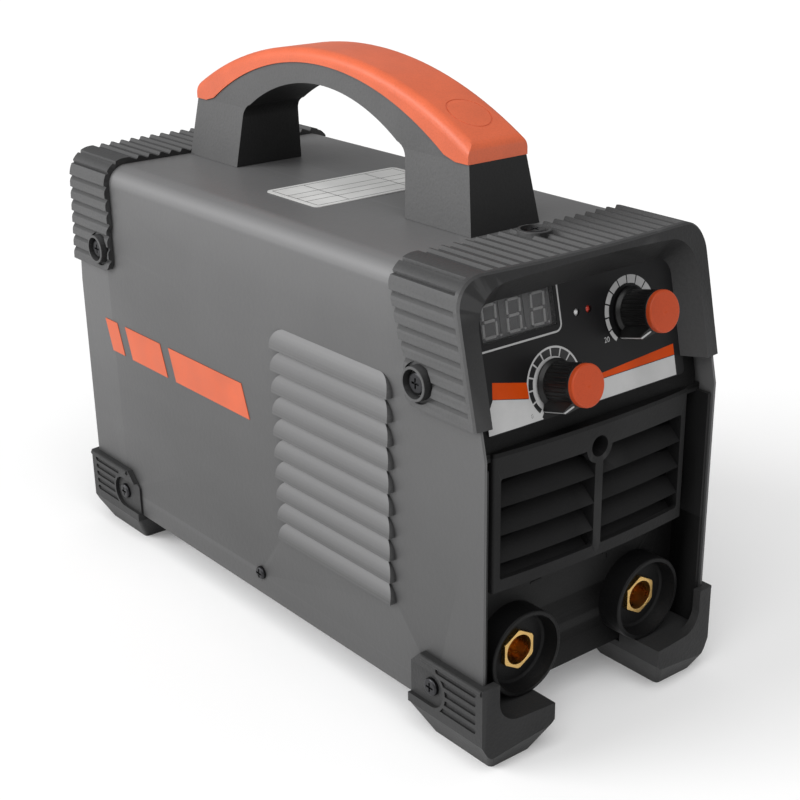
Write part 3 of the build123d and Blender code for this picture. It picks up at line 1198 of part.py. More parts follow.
write_node("cable_gland", cable_gland(), gland_nut())
write_node("earth_stud", *ground_stud())
write_node("main_board", main_board())
write_node("board_posts", *board_posts())
write_node("electronics_screws", *board_screws(), *busbar_screws())
write_node("heat_sinks", *both_sides(heat_sink()))
write_node("power_transistors", *power_transistors())
write_node("transformer_core", transformer_core())
write_node("transformer_winding", transformer_winding())
write_node("choke_core", choke_core())
write_node("choke_winding", *choke_winding())
write_node("bulk_capacitors", *bulk_capacitors())
write_node("rectifier", rectifier())
write_node("busbars", *busbars())
write_node("supply_wires", *supply_wires())
write_node("ribbon_cable", ribbon_cable())
write_node("roof_label", roof_label())
write_node("side_graphics", *side_graphics())
write_node("tray_screws", *side_screws(), *foot_screws())
write_node("cover_screws", *hood_screws(), front_screw())
write_node("handle_bolts", *handle_bolts())
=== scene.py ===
"""Looks of the stick welding inverter: materials, printed graphics, lights, floor and camera."""

import json
import math

import bpy
import bmesh
from mathutils import Matrix, Vector


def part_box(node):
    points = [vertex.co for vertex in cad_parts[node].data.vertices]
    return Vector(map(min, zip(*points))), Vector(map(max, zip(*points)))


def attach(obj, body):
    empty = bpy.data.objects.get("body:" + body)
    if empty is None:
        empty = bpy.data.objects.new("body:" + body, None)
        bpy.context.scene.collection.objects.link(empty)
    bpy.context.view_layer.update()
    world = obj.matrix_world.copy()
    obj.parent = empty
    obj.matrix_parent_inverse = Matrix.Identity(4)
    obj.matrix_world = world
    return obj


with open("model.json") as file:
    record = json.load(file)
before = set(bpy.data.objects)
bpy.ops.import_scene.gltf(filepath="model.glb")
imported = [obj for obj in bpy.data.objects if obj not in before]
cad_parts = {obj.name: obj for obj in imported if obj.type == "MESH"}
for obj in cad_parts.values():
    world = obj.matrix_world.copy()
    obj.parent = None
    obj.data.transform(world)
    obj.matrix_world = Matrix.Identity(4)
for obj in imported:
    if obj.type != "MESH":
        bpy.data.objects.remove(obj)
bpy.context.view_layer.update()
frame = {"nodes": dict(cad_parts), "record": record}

MM = 0.001
NODES = frame["nodes"]
RECORD = frame["record"]
JOINTS = {joint["name"]: joint for joint in RECORD["behaviour"]["joints"]}
MOUNTS = {mount["name"]: mount for mount in RECORD["mounts"]}

# ---------------------------------------------------------------- places on the object
RIGHT = Vector((1, 0, 0))
OUT = -Vector(JOINTS["current_dial"]["axis"])       # straight out of the control face
UP_FACE = OUT.cross(RIGHT).normalized()
if UP_FACE.z < 0:
    UP_FACE = -UP_FACE
DIAL_CURRENT = Vector(JOINTS["current_dial"]["pos_m"])
DIAL_ARC = Vector(JOINTS["arc_dial"]["pos_m"])
FACE_SKIN = 0.5                                     # the overlay's thickness
CURRENT_X, CURRENT_UP = 27.5, 39.3                  # the upper dial in control-face millimetres
FACE_ORIGIN = DIAL_CURRENT - RIGHT * CURRENT_X * MM - UP_FACE * CURRENT_UP * MM
ARC_X = (DIAL_ARC - FACE_ORIGIN).dot(RIGHT) / MM
ARC_UP = (DIAL_ARC - FACE_ORIGIN).dot(UP_FACE) / MM


def face_point(x, up, out):
    """A point on the leaning control face, from millimetres across, up and out."""
    return FACE_ORIGIN + (RIGHT * x + UP_FACE * up + OUT * out) * MM


# ---------------------------------------------------------------- node material helpers
class Shader:
    """Builds one node material, with short names for the nodes used again and again."""

    def __init__(self, name):
        self.mat = bpy.data.materials.new(name)
        self.mat.use_nodes = True
        self.tree = self.mat.node_tree
        self.nodes = self.tree.nodes
        self.bsdf = next(n for n in self.nodes if n.type == "BSDF_PRINCIPLED")
        coord = self.nodes.new("ShaderNodeTexCoord")
        self.coord = coord.outputs["Object"]

    def link(self, a, b):
        self.tree.links.new(a, b)

    def node(self, kind, **settings):
        made = self.nodes.new(kind)
        for key, value in settings.items():
            setattr(made, key, value)
        return made

    def split(self, vector):
        """The X, Y and Z parts of a vector socket."""
        made = self.node("ShaderNodeSeparateXYZ")
        self.link(vector, made.inputs["Vector"])
        return made.outputs

    def surface_normal(self):
        return self.node("ShaderNodeNewGeometry").outputs["Normal"]

    def stretched(self, scale):
        mapping = self.node("ShaderNodeMapping")
        mapping.inputs["Scale"].default_value = scale
        self.link(self.coord, mapping.inputs["Vector"])
        return mapping.outputs["Vector"]

    def noise(self, scale, detail=3.0, rough=0.55, vector=None):
        made = self.node("ShaderNodeTexNoise")
        made.inputs["Scale"].default_value = scale
        made.inputs["Detail"].default_value = detail
        made.inputs["Roughness"].default_value = rough
        self.link(vector or self.coord, made.inputs["Vector"])
        return made.outputs["Fac"]

    def cells(self, scale, vector=None):
        made = self.node("ShaderNodeTexVoronoi")
        made.inputs["Scale"].default_value = scale
        self.link(vector or self.coord, made.inputs["Vector"])
        return made.outputs["Distance"]

    def ramp(self, value, low, high, dark=(0, 0, 0), light=(1, 1, 1)):
        made = self.node("ShaderNodeValToRGB")
        made.color_ramp.elements[0].position = low
        made.color_ramp.elements[1].position = high
        made.color_ramp.elements[0].color = (*dark, 1)
        made.color_ramp.elements[1].color = (*light, 1)
        self.link(value, made.inputs["Fac"])
        return made.outputs["Color"]

    def mix(self, factor, a, b, blend="MIX"):
        made = self.node("ShaderNodeMix", data_type="RGBA", blend_type=blend)
        for socket, value in ((made.inputs["Factor"], factor), (made.inputs["A"], a), (made.inputs["B"], b)):
            if hasattr(value, "is_linked") or hasattr(value, "links"):
                self.link(value, socket)
            elif isinstance(value, (int, float)):
                socket.default_value = value
            else:
                socket.default_value = (*value, 1)
        return made.outputs["Result"]

    def math(self, kind, a, b=0.0):
        made = self.node("ShaderNodeMath", operation=kind)
        for socket, value in ((made.inputs[0], a), (made.inputs[1], b)):
            if isinstance(value, (int, float)):
                socket.default_value = value
            else:
                self.link(value, socket)
        return made.outputs["Value"]

    def spread(self, value, low, high):
        """Rescales a 0..1 value to low..high."""
        made = self.node("ShaderNodeMapRange")
        made.inputs["To Min"].default_value = low
        made.inputs["To Max"].default_value = high
        self.link(value, made.inputs["Value"])
        return made.outputs["Result"]

    def bump(self, height, strength, depth, under=None):
        made = self.node("ShaderNodeBump")
        made.inputs["Strength"].default_value = strength
        made.inputs["Distance"].default_value = depth
        self.link(height, made.inputs["Height"])
        if under is not None:
            self.link(under, made.inputs["Normal"])
        return made.outputs["Normal"]

    def worn_edges(self, low=0.52, high=0.60):
        geometry = self.node("ShaderNodeNewGeometry")
        return self.ramp(geometry.outputs["Pointiness"], low, high)

    def painted_face_light(self, front, side, top):
        """Paints light by face direction: mixes three colours by where a face looks, ahead or back,
        sideways, or up.
        """
        normal = self.split(self.surface_normal())
        sideways = self.ramp(self.math("ABSOLUTE", normal["X"]), 0.40, 0.85)
        upward = self.ramp(normal["Z"], 0.45, 0.90)
        return self.mix(upward, self.mix(sideways, front, side), top)

    def finish(self, color, rough, normal=None, **uniform):
        self.link(color, self.bsdf.inputs["Base Color"])
        self.link(rough, self.bsdf.inputs["Roughness"])
        if normal is not None:
            self.link(normal, self.bsdf.inputs["Normal"])
        for key, value in uniform.items():
            self.bsdf.inputs[key.replace("_", " ")].default_value = value
        return self.mat


RIM_SHADOW = (0.45, 0.45, 0.45)     # painted shade: darkens a masked place of a moulding


def shade(color, factor):
    return tuple(min(1.0, c * factor) for c in color)


def moulded(name, color, rough=0.5, grain=900.0, depth=0.00012, spec=0.35, scuff=0.25, side=None, top=None,
            shadow=None):
    """Spark-eroded moulded plastic: fine grain, faint flow marks and slightly polished edges.

    A side and a top colour paint light by face direction: the sides and tops get a painted sheen that the
    plain front lacks.
    A shadow function returns the mask of the places that get painted shade, darker than the rest."""
    s = Shader(name)
    flow = s.noise(22.0, 4.0)
    bright = side or color
    # painted light: faces that look sideways or up get lighter colours than faces that look ahead
    if side:
        tone = s.mix(1.0, s.painted_face_light(color, side, top or side),
                     s.ramp(flow, 0.3, 0.7, (0.88, 0.88, 0.88), (1.0, 1.0, 1.0)), "MULTIPLY")
    else:
        tone = s.ramp(flow, 0.3, 0.7, shade(color, 0.86), shade(color, 1.14))
    fine = s.noise(grain, 2.0, 0.6)
    speckle = s.ramp(fine, 0.45, 0.75, (1.0, 1.0, 1.0), (0.88, 0.88, 0.88))
    tone = s.mix(0.9, tone, speckle, "MULTIPLY")
    edge = s.math("MULTIPLY", s.worn_edges(), scuff)
    tone = s.mix(edge, tone, shade(bright, 1.5))
    # painted shade darkens the masked places
    if shadow:
        tone = s.mix(shadow(s), tone, RIM_SHADOW, "MULTIPLY")
    grit = s.cells(grain * 0.8)
    normal = s.bump(grit, 0.5, depth)
    normal = s.bump(s.noise(60.0, 3.0), 0.12, 0.0006, normal)
    roughness = s.spread(s.noise(45.0, 5.0), rough - 0.09, rough + 0.09)
    return s.finish(tone, roughness, normal, Specular_IOR_Level=spec)


HEIGHT_TO_UNIT = 5.0    # brings the case's height, about 0.2 m, to one


def coated(name, color, rough=0.42, spec=0.4, painted_lighting=0.0):
    """Powder coat over sheet steel: orange peel, rubbed edges and painted shade in the creases.

    Given a strength of painted lighting, painted shade makes it darker near the floor and a painted
    highlight makes it paler on slopes that look sideways and up."""
    s = Shader(name)
    cloud = s.noise(9.0, 5.0)
    tone = s.ramp(cloud, 0.28, 0.72, shade(color, 0.90), shade(color, 1.09))
    # painted shade: ambient occlusion darkens the paint in creases and between parts
    crevice_shade = s.node("ShaderNodeAmbientOcclusion", samples=8)
    crevice_shade.inputs["Distance"].default_value = 0.003
    tone = s.mix(0.8, tone, s.ramp(crevice_shade.outputs["AO"], 0.35, 0.85, (0.15, 0.15, 0.15)), "MULTIPLY")
    speck = s.cells(1500.0)
    dust = s.math("MULTIPLY", s.ramp(speck, 0.05, 0.35, (1, 1, 1), (0, 0, 0)), 0.22)
    tone = s.mix(dust, tone, shade(color, 1.45))
    edge = s.math("MULTIPLY", s.worn_edges(0.54, 0.64), 0.35)
    tone = s.mix(edge, tone, shade(color, 2.2))
    if painted_lighting:
        # painted shade: darker towards the floor
        painted_low_shade = s.math("MULTIPLY", s.split(s.coord)["Z"], HEIGHT_TO_UNIT)
        tone = s.mix(1.0, tone, s.ramp(painted_low_shade, 0.10, 0.90, (0.48, 0.48, 0.48)), "MULTIPLY")
        # painted highlight: paler on slopes that look sideways and up
        normal = s.split(s.surface_normal())
        painted_slope_highlight = s.math("MULTIPLY", s.ramp(normal["Z"], 0.10, 0.45),
                         s.ramp(s.math("ABSOLUTE", normal["X"]), 0.55, 0.85))
        tone = s.mix(s.math("MULTIPLY", painted_slope_highlight, painted_lighting), tone, shade(color, 2.1))
    peel = s.noise(420.0, 2.0, 0.5)
    normal = s.bump(peel, 0.22, 0.00035)
    normal = s.bump(s.noise(14.0, 2.0), 0.06, 0.002, normal)
    smear = s.noise(1.0, 6.0, 0.6, s.stretched((18, 9, 40)))
    roughness = s.spread(smear, rough - 0.08, rough + 0.12)
    return s.finish(tone, roughness, normal, Specular_IOR_Level=spec)


def metal(name, color, rough=0.3, lines=(40, 1400, 40), patina=0.3, dark=0.55):
    """Bare or plated metal with tool lines along one direction and a little tarnish."""
    s = Shader(name)
    cloud = s.noise(70.0, 5.0, 0.6)
    tone = s.mix(s.math("MULTIPLY", s.ramp(cloud, 0.42, 0.78), patina), color, shade(color, dark))
    brush = s.noise(1.0, 3.0, 0.6, s.stretched(lines))
    tone = s.mix(s.math("MULTIPLY", brush, 0.22), tone, shade(color, 1.25))
    normal = s.bump(brush, 0.25, 0.0001)
    roughness = s.spread(s.noise(180.0, 4.0), rough - 0.1, rough + 0.14)
    return s.finish(tone, roughness, normal, Metallic=1.0)


def printed(name, color, rough=0.4, spec=0.4):
    """Screen-printed film: near-even ink with a fine dot grain and light handling marks."""
    s = Shader(name)
    tone = s.ramp(s.noise(60.0, 4.0), 0.3, 0.7, shade(color, 0.90), shade(color, 1.06))
    tone = s.mix(s.math("MULTIPLY", s.cells(2600.0), 0.12), tone, shade(color, 0.7))
    normal = s.bump(s.noise(1300.0, 2.0), 0.15, 0.00005)
    roughness = s.spread(s.noise(120.0, 5.0), rough - 0.1, rough + 0.12)
    return s.finish(tone, roughness, normal, Specular_IOR_Level=spec)


# ---------------------------------------------------------------- the object's materials
SKIN_DEPTH = 2.2        # the hood's outer skin reaches this far inside the case's side
ROOF_GAP = 1.0          # and starts this far above the case's roof
FACE_GAP = 0.3          # the rim stands at least this far ahead of the control face


def rim_shade_mask(s):
    """One on the inward faces of the hood's rim, round the controls, where painted shade goes, and zero
    elsewhere.
    """
    place = s.split(s.coord)
    normal = s.split(s.surface_normal())
    case_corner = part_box("cover_shell")[1]
    outward = s.math("MULTIPLY", s.math("MULTIPLY", normal["X"], place["X"]), 10.0)
    inward = s.math("LESS_THAN", s.math("ADD", outward, s.math("MULTIPLY", normal["Z"], 0.3)), -0.02)
    inside_x = s.math("LESS_THAN", s.math("ABSOLUTE", place["X"]), case_corner[0] - SKIN_DEPTH * MM)
    inside_z = s.math("LESS_THAN", place["Z"], case_corner[2] + ROOF_GAP * MM)
    ahead = s.math("ADD", s.math("MULTIPLY", place["Y"], OUT.y), s.math("MULTIPLY", place["Z"], OUT.z))
    in_front = s.math("GREATER_THAN", ahead, FACE_ORIGIN.dot(OUT) + FACE_GAP * MM)
    return s.math("MULTIPLY", s.math("MULTIPLY", inside_x, inside_z), s.math("MULTIPLY", in_front, inward))


def hood_material():
    """Hood moulding: ribbed skin painted lighter on its sides and top than on its front as painted light,
    with painted shade inside the rim where it faces the controls.
    """
    # painted light: one grey plastic gets a dark front, a light side and a middling roof colour
    front, side, roof = (0.022, 0.022, 0.0225), (0.096, 0.096, 0.097), (0.052, 0.052, 0.053)
    return moulded("hood_moulding", front, rough=0.58, grain=850.0, depth=0.00016, spec=0.25, scuff=0.15,
                   side=side, top=roof, shadow=rim_shade_mask)


GRILLE_LOW, GRILLE_HIGH = 74.5, 133.2       # heights of the grained grille block, in millimetres
GRILLE_STEP = 1.5                           # it stands more than this ahead of the sockets' mount


def panel_material():
    """Front moulding: satin grain on the grille block; the recessed socket panel is coloured deep black as
    painted shade in its recess.
    """
    s = Shader("front_moulding")
    place = s.split(s.coord)
    panel_y = MOUNTS["socket_negative"]["pos_m"][1]
    forward = s.math("LESS_THAN", place["Y"], panel_y - GRILLE_STEP * MM)
    level = s.math("GREATER_THAN", place["Z"], GRILLE_LOW * MM)
    level = s.math("MULTIPLY", level, s.math("LESS_THAN", place["Z"], GRILLE_HIGH * MM))
    satin = s.ramp(s.noise(22.0, 4.0), 0.3, 0.7, (0.008, 0.008, 0.0082), (0.012, 0.012, 0.0123))
    # painted shade: the recessed socket panel gets a far darker colour than the grille block
    plain = s.ramp(s.noise(30.0, 4.0), 0.3, 0.7, (0.0018, 0.0018, 0.0019), (0.0030, 0.0030, 0.0031))
    tone = s.mix(s.math("MULTIPLY", forward, level), plain, satin)
    edge = s.math("MULTIPLY", s.worn_edges(), 0.2)
    tone = s.mix(edge, tone, (0.06, 0.06, 0.06))
    normal = s.bump(s.cells(760.0), 0.45, 0.0001)
    normal = s.bump(s.noise(60.0, 3.0), 0.12, 0.0006, normal)
    roughness = s.spread(s.noise(45.0, 5.0), 0.42, 0.6)
    return s.finish(tone, roughness, normal, Specular_IOR_Level=0.13)


def lens_material():
    """Smoked acrylic lens over the display."""
    s = Shader("lens_smoked")
    tone = s.ramp(s.noise(40.0, 3.0), 0.3, 0.7, (0.075, 0.075, 0.077), (0.095, 0.095, 0.097))
    roughness = s.spread(s.noise(150.0, 4.0), 0.06, 0.16)
    normal = s.bump(s.noise(300.0, 2.0), 0.03, 0.00005)
    return s.finish(tone, roughness, normal, Alpha=0.22, Specular_IOR_Level=0.5)


def lamp_material():
    """Two indicator lamps in one node: the left one clear white, the right one red."""
    s = Shader("lamp_domes")
    low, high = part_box("indicator_lamps")
    red_side = s.math("GREATER_THAN", s.split(s.coord)["X"], (low[0] + high[0]) / 2)
    white = s.ramp(s.noise(900.0), 0.3, 0.7, (0.50, 0.50, 0.50), (0.68, 0.68, 0.68))
    tone = s.mix(red_side, white, (0.42, 0.035, 0.02))
    roughness = s.spread(s.noise(400.0), 0.2, 0.35)
    return s.finish(tone, roughness, None, Specular_IOR_Level=0.5)


def board_material():
    """Green solder mask with copper tracks showing through and pale pads."""
    s = Shader("solder_mask")
    cell = s.node("ShaderNodeTexBrick")
    cell.inputs["Scale"].default_value = 190.0
    cell.inputs["Mortar Size"].default_value = 0.035
    cell.inputs["Color1"].default_value = (0.010, 0.075, 0.030, 1)
    cell.inputs["Color2"].default_value = (0.012, 0.095, 0.040, 1)
    cell.inputs["Mortar"].default_value = (0.03, 0.16, 0.07, 1)
    s.link(s.coord, cell.inputs["Vector"])
    pads = s.ramp(s.cells(420.0), 0.08, 0.12, (1, 1, 1), (0, 0, 0))
    tone = s.mix(s.math("MULTIPLY", pads, 0.7), cell.outputs["Color"], (0.45, 0.42, 0.36))
    roughness = s.spread(s.noise(200.0), 0.25, 0.45)
    normal = s.bump(s.cells(420.0), 0.2, 0.0001)
    return s.finish(tone, roughness, normal, Specular_IOR_Level=0.5)


def wound_material():
    """Enamelled copper turns laid side by side."""
    s = Shader("copper_turns")
    wave = s.node("ShaderNodeTexWave", bands_direction="Y")
    wave.inputs["Scale"].default_value = 230.0
    wave.inputs["Distortion"].default_value = 0.6
    s.link(s.coord, wave.inputs["Vector"])
    tone = s.ramp(wave.outputs["Fac"], 0.1, 0.8, (0.22, 0.06, 0.02), (0.62, 0.25, 0.10))
    normal = s.bump(wave.outputs["Fac"], 0.7, 0.0004)
    roughness = s.spread(s.noise(300.0), 0.22, 0.4)
    return s.finish(tone, roughness, normal, Metallic=0.8)


ORANGE = (0.60, 0.105, 0.035)
BLACK = (0.0055, 0.0055, 0.0057)
MATERIALS = {
    # the case paint carries painted shade near the floor and painted highlights on slopes
    "case_paint": coated("case_powder_coat", (0.100, 0.100, 0.101), painted_lighting=0.75),
    "panel_paint": coated("rear_powder_coat", (0.060, 0.060, 0.061)),
    "tray_steel": coated("tray_grey_coat", (0.20, 0.20, 0.205)),
    "hood_plastic": hood_material(),
    # painted light: the feet's sides and tops get lighter colours than their fronts
    "foot_plastic": moulded("foot_moulding", (0.014, 0.014, 0.0145), rough=0.55, depth=0.00016, spec=0.25,
                            scuff=0.2, side=(0.036, 0.036, 0.0365), top=(0.024, 0.024, 0.0243)),
    "black_plastic": moulded("black_moulding", BLACK, rough=0.5, spec=0.16, scuff=0.1),
    "knob_black": moulded("knob_moulding", (0.0065, 0.0065, 0.0066), rough=0.36, grain=1600.0, depth=0.00004,
                          spec=0.3, scuff=0.1),
    "orange_plastic": moulded("grip_moulding", (0.66, 0.125, 0.048), rough=0.42, grain=1300.0, depth=0.00006,
                              spec=0.45, scuff=0.12),
    "orange_cap": moulded("cap_moulding", (0.43, 0.052, 0.010), rough=0.5, grain=1500.0, depth=0.00005,
                          spec=0.3, scuff=0.1),
    "orange_print": printed("side_film", ORANGE),
    "overlay_print": printed("overlay_film", (0.006, 0.006, 0.0065), rough=0.38, spec=0.2),
    "white_print": printed("white_ink", (0.44, 0.44, 0.44)),
    "label_foil": printed("label_film", (0.68, 0.68, 0.67), rough=0.35),
    "clear_lens": lens_material(),
    "display_grey": moulded("display_body", (0.14, 0.14, 0.142), rough=0.5, grain=1500.0, depth=0.00003),
    "lamp_plastic": lamp_material(),
    "brass_contact": metal("machined_brass", (0.72, 0.47, 0.17), 0.26, (900, 60, 900), 0.45),
    "brass_fittings": metal("fitting_brass", (0.70, 0.48, 0.20), 0.34),
    "copper": metal("bare_copper", (0.72, 0.30, 0.16), 0.3),
    "zinc_steel": metal("zinc_plate", (0.55, 0.56, 0.57), 0.34, (500, 500, 500), 0.25),
    "dark_screws": metal("black_oxide", (0.045, 0.045, 0.048), 0.36, (700, 700, 700), 0.3, 0.4),
    "chrome_wire": metal("bright_wire", (0.68, 0.68, 0.69), 0.16, (900, 900, 900), 0.12),
    "aluminium_fins": metal("extruded_aluminium", (0.66, 0.67, 0.68), 0.36, (1400, 30, 1400), 0.2),
    "aluminium_shaft": metal("turned_aluminium", (0.66, 0.66, 0.67), 0.28),
    "ferrite": moulded("sintered_ferrite", (0.030, 0.030, 0.032), rough=0.6, grain=700.0, depth=0.0002),
    "circuit_board": board_material(),
    "device_epoxy": moulded("device_epoxy_body", (0.016, 0.016, 0.016), rough=0.5, grain=1200.0),
    "capacitor_sleeve": printed("capacitor_wrap", (0.020, 0.028, 0.090), rough=0.3),
    "ribbon_grey": moulded("ribbon_sleeve", (0.26, 0.26, 0.26), rough=0.6),
    "wire_sleeve": moulded("wire_insulation", (0.20, 0.035, 0.02), rough=0.5),
    "red_rocker": moulded("rocker_moulding", (0.36, 0.012, 0.008), rough=0.32, grain=1500.0, depth=0.00004),
}
NODE_MATERIALS = {
    "transformer_winding": wound_material(),
    "front_panel": panel_material(),
    # painted light: the handle's sides and top get far lighter colours than its front
    "handle_frame": moulded("handle_moulding", (0.010, 0.010, 0.0102), rough=0.55, spec=0.2, scuff=0.1,
                            side=(0.120, 0.120, 0.121), top=(0.03, 0.03, 0.03)),
}
NODE_MATERIALS["choke_winding"] = NODE_MATERIALS["transformer_winding"]


SHARP_ANGLE = 35.0      # an edge that bends more than this is rounded
WELD_GAP = 0.004


def dress(obj, bevel):
    """Rounds an object's sharp edges by a radius in millimetres and smooths its shading."""
    weld = obj.modifiers.new("weld", "WELD")
    weld.merge_threshold = WELD_GAP * MM
    soft = obj.modifiers.new("edge_radius", "BEVEL")
    soft.width = bevel * MM
    soft.segments = 2
    soft.limit_method = "ANGLE"
    soft.angle_limit = math.radians(SHARP_ANGLE)
    soft.use_clamp_overlap = True
    soft.harden_normals = False
    soft.miter_outer = "MITER_ARC"
    weighted = obj.modifiers.new("face_normals", "WEIGHTED_NORMAL")
    weighted.keep_sharp = True
    weighted.weight = 80


BEVELS = {
    "front_hood": 0.35, "rear_hood": 0.35, "front_panel": 0.4, "handle_frame": 1.1, "handle_grip": 0.5,
    "foot_front_left": 0.5, "foot_front_right": 0.5, "foot_rear_left": 0.5, "foot_rear_right": 0.5,
    "socket_body_negative": 0.35, "socket_body_positive": 0.35, "socket_insert_negative": 0.25,
    "socket_insert_positive": 0.25, "knob_arc": 0.15, "knob_current": 0.15, "switch_body": 0.3,
    "switch_rocker": 0.4, "cable_gland": 0.3, "fan_frame": 0.4, "cover_screws": 0.12, "tray_screws": 0.12,
    "earth_stud": 0.2, "heat_sinks": 0.15,
}
SLOTS = {part["node"]: part["material_slot"] for part in RECORD["subparts"]}
for node_name, node_object in NODES.items():
    surface = NODE_MATERIALS.get(node_name, MATERIALS[SLOTS[node_name]])
    node_object.data.materials.clear()
    node_object.data.materials.append(surface)

# ---------------------------------------------------------------- printed graphics
PRINT_LIFT = 0.05       # how far ink stands above the overlay
SINK = 0.01             # how far its lower side sinks into the overlay
LARGE_NUMBER, SMALL_NUMBER = 3.1, 2.4


def new_piece(name, bm, mat, body):
    """Turns a bmesh into a piece that rides on a body."""
    bmesh.ops.recalc_face_normals(bm, faces=bm.faces)
    mesh = bpy.data.meshes.new(name)
    bm.to_mesh(mesh)
    bm.free()
    mesh.materials.append(mat)
    obj = bpy.data.objects.new(name, mesh)
    bpy.context.scene.collection.objects.link(obj)
    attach(obj, body)


def prism(bm, points, low, high, place):
    """Adds a flat plate with the given outline between two heights."""
    bottom = [bm.verts.new(place(x, y, low)) for x, y in points]
    top = [bm.verts.new(place(x, y, high)) for x, y in points]
    bm.faces.new(top)
    bm.faces.new(list(reversed(bottom)))
    count = len(points)
    for i in range(count):
        j = (i + 1) % count
        bm.faces.new((bottom[i], bottom[j], top[j], top[i]))


def sector(cx, cy, inner, outer, start, stop, steps=6):
    """Outline of part of a ring; angles run clockwise from straight up, in degrees."""
    points = []
    for radius, order in ((outer, range(steps + 1)), (inner, range(steps, -1, -1))):
        for i in order:
            angle = math.radians(start + (stop - start) * i / steps)
            points.append((cx + radius * math.sin(angle), cy + radius * math.cos(angle)))
    return points


def bar(x0, y0, x1, y1, width):
    """Outline of a straight line with a width."""
    along = Vector((x1 - x0, y1 - y0)).normalized() * width / 2
    side = Vector((-along.y, along.x))
    return [(x0 + side.x, y0 + side.y), (x1 + side.x, y1 + side.y), (x1 - side.x, y1 - side.y),
            (x0 - side.x, y0 - side.y)]


def ink(name, outlines, mat, low=FACE_SKIN - SINK, high=FACE_SKIN + PRINT_LIFT):
    bm = bmesh.new()
    for outline in outlines:
        prism(bm, outline, low, high, face_point)
    new_piece(name, bm, mat, "case")


# the coloured strip along the lower edge of the overlay
STRIP_RIGHT = 50.0
white_parts = [
    [(-50.5, 20.8), (-54.6, 14.5), (-54.6, 7.6), (-39.2, 7.4), (ARC_X - 8.0, 7.4),
     (ARC_X - 14.0, ARC_UP - 3.2)],
    [(ARC_X + 8.0, 7.4), (STRIP_RIGHT, 7.4), (STRIP_RIGHT, 15.7), (ARC_X + 14.3, 15.4)],
]
orange_parts = [
    [(-50.6, 21.0), (ARC_X - 14.0, ARC_UP - 2.9), (ARC_X - 14.2, ARC_UP + 3.4), (-49.6, 27.3)],
    [(ARC_X + 14.4, 15.7), (STRIP_RIGHT, 16.0), (STRIP_RIGHT, 20.6), (ARC_X + 14.6, 17.2)],
]
WHITE = MATERIALS["white_print"]
ORANGE_INK = printed("orange_ink", (0.50, 0.052, 0.002), spec=0.12)
DARK_INK = printed("dark_ink", (0.013, 0.013, 0.014))
GREY_INK = printed("grey_ink", (0.36, 0.36, 0.36))
ink("strip_white", white_parts, WHITE)
ink("strip_orange", orange_parts, ORANGE_INK)

# both dials carry twelve blocks that grow clockwise: dark on a white ring, and grey on the black
BLOCKS = 12
PITCH = 23.0
SWEEP_HALF = PITCH * BLOCKS / 2
ring = [sector(ARC_X, ARC_UP, 8.8, 14.5, -144 + 36 * i, -108 + 36 * i, 10) for i in range(8)]
ink("arc_dial_ring", ring, WHITE, high=FACE_SKIN + 0.045)


def dial_blocks(cx, cy, outer, first, last, gap):
    """Outlines of the dial's blocks; their depth grows from first to last."""
    made = []
    for index in range(BLOCKS):
        start = -SWEEP_HALF + PITCH * index
        depth = first + (last - first) * index / (BLOCKS - 1)
        made.append(sector(cx, cy, outer - depth, outer, start + gap, start + PITCH - gap))
    return made


ink("arc_dial_blocks", dial_blocks(ARC_X, ARC_UP, 13.7, 1.8, 4.5, 1.5), DARK_INK,
    low=FACE_SKIN + 0.03, high=FACE_SKIN + 0.07)
ink("current_dial_blocks", dial_blocks(CURRENT_X, CURRENT_UP, 14.5, 1.7, 4.8, 1.3), GREY_INK)

# line round the display window
WINDOW_LOW, WINDOW_HIGH = (-51.4, 42.2), (-13.0, 57.4)
edge_x, edge_up = -10.9, 39.4
corner = 3.0
LINE = 0.75
frame_line = [
    bar(-54.5, edge_up, edge_x - corner, edge_up, LINE),
    sector(edge_x - corner, edge_up + corner, corner - 0.37, corner + 0.37, 90, 180),
    bar(edge_x, edge_up + corner, edge_x, 57.5, LINE),
]
ink("window_line", frame_line, GREY_INK)

# three unlit digits behind the lens
SEGMENT_INK = printed("segment_grey", (0.42, 0.42, 0.42), rough=0.5)
DIGIT_W, DIGIT_H, SEGMENT = 7.6, 13.4, 1.05
WINDOW_X, WINDOW_UP = (WINDOW_LOW[0] + WINDOW_HIGH[0]) / 2, (WINDOW_LOW[1] + WINDOW_HIGH[1]) / 2
segments = []
for digit in (-12.5, 0.0, 12.5):
    cx, cy = WINDOW_X + digit, WINDOW_UP
    for sx in (-1, 1):
        for sy in (-1, 1):
            x = cx + sx * (DIGIT_W - SEGMENT) / 2
            lean = 0.35 * sy
            segments.append([(x - SEGMENT / 2 + lean * 0.2, cy + sy * 0.75),
                             (x + SEGMENT / 2 + lean * 0.2, cy + sy * 0.75),
                             (x + SEGMENT / 2 + lean, cy + sy * (DIGIT_H / 2 - 0.75)),
                             (x - SEGMENT / 2 + lean, cy + sy * (DIGIT_H / 2 - 0.75))])
    for level in (-1, 0, 1):
        y = cy + level * (DIGIT_H - SEGMENT) / 2
        lean = 0.35 * level
        half = DIGIT_W / 2 - SEGMENT * 0.9
        segments.append([(cx - half + lean, y), (cx - half + 0.5 + lean, y + SEGMENT / 2),
                         (cx + half - 0.5 + lean, y + SEGMENT / 2),
                         (cx + half + lean, y), (cx + half - 0.5 + lean, y - SEGMENT / 2),
                         (cx - half + 0.5 + lean, y - SEGMENT / 2)])
    segments.append(sector(cx + DIGIT_W / 2 + 1.1, cy - DIGIT_H / 2 + 0.5, 0.05, 0.5, 0, 330, 12)[:12])
ink("display_segments", segments, SEGMENT_INK, low=-2.38, high=-1.85)


NUMBER_HALF = 0.03      # half of a number's thickness


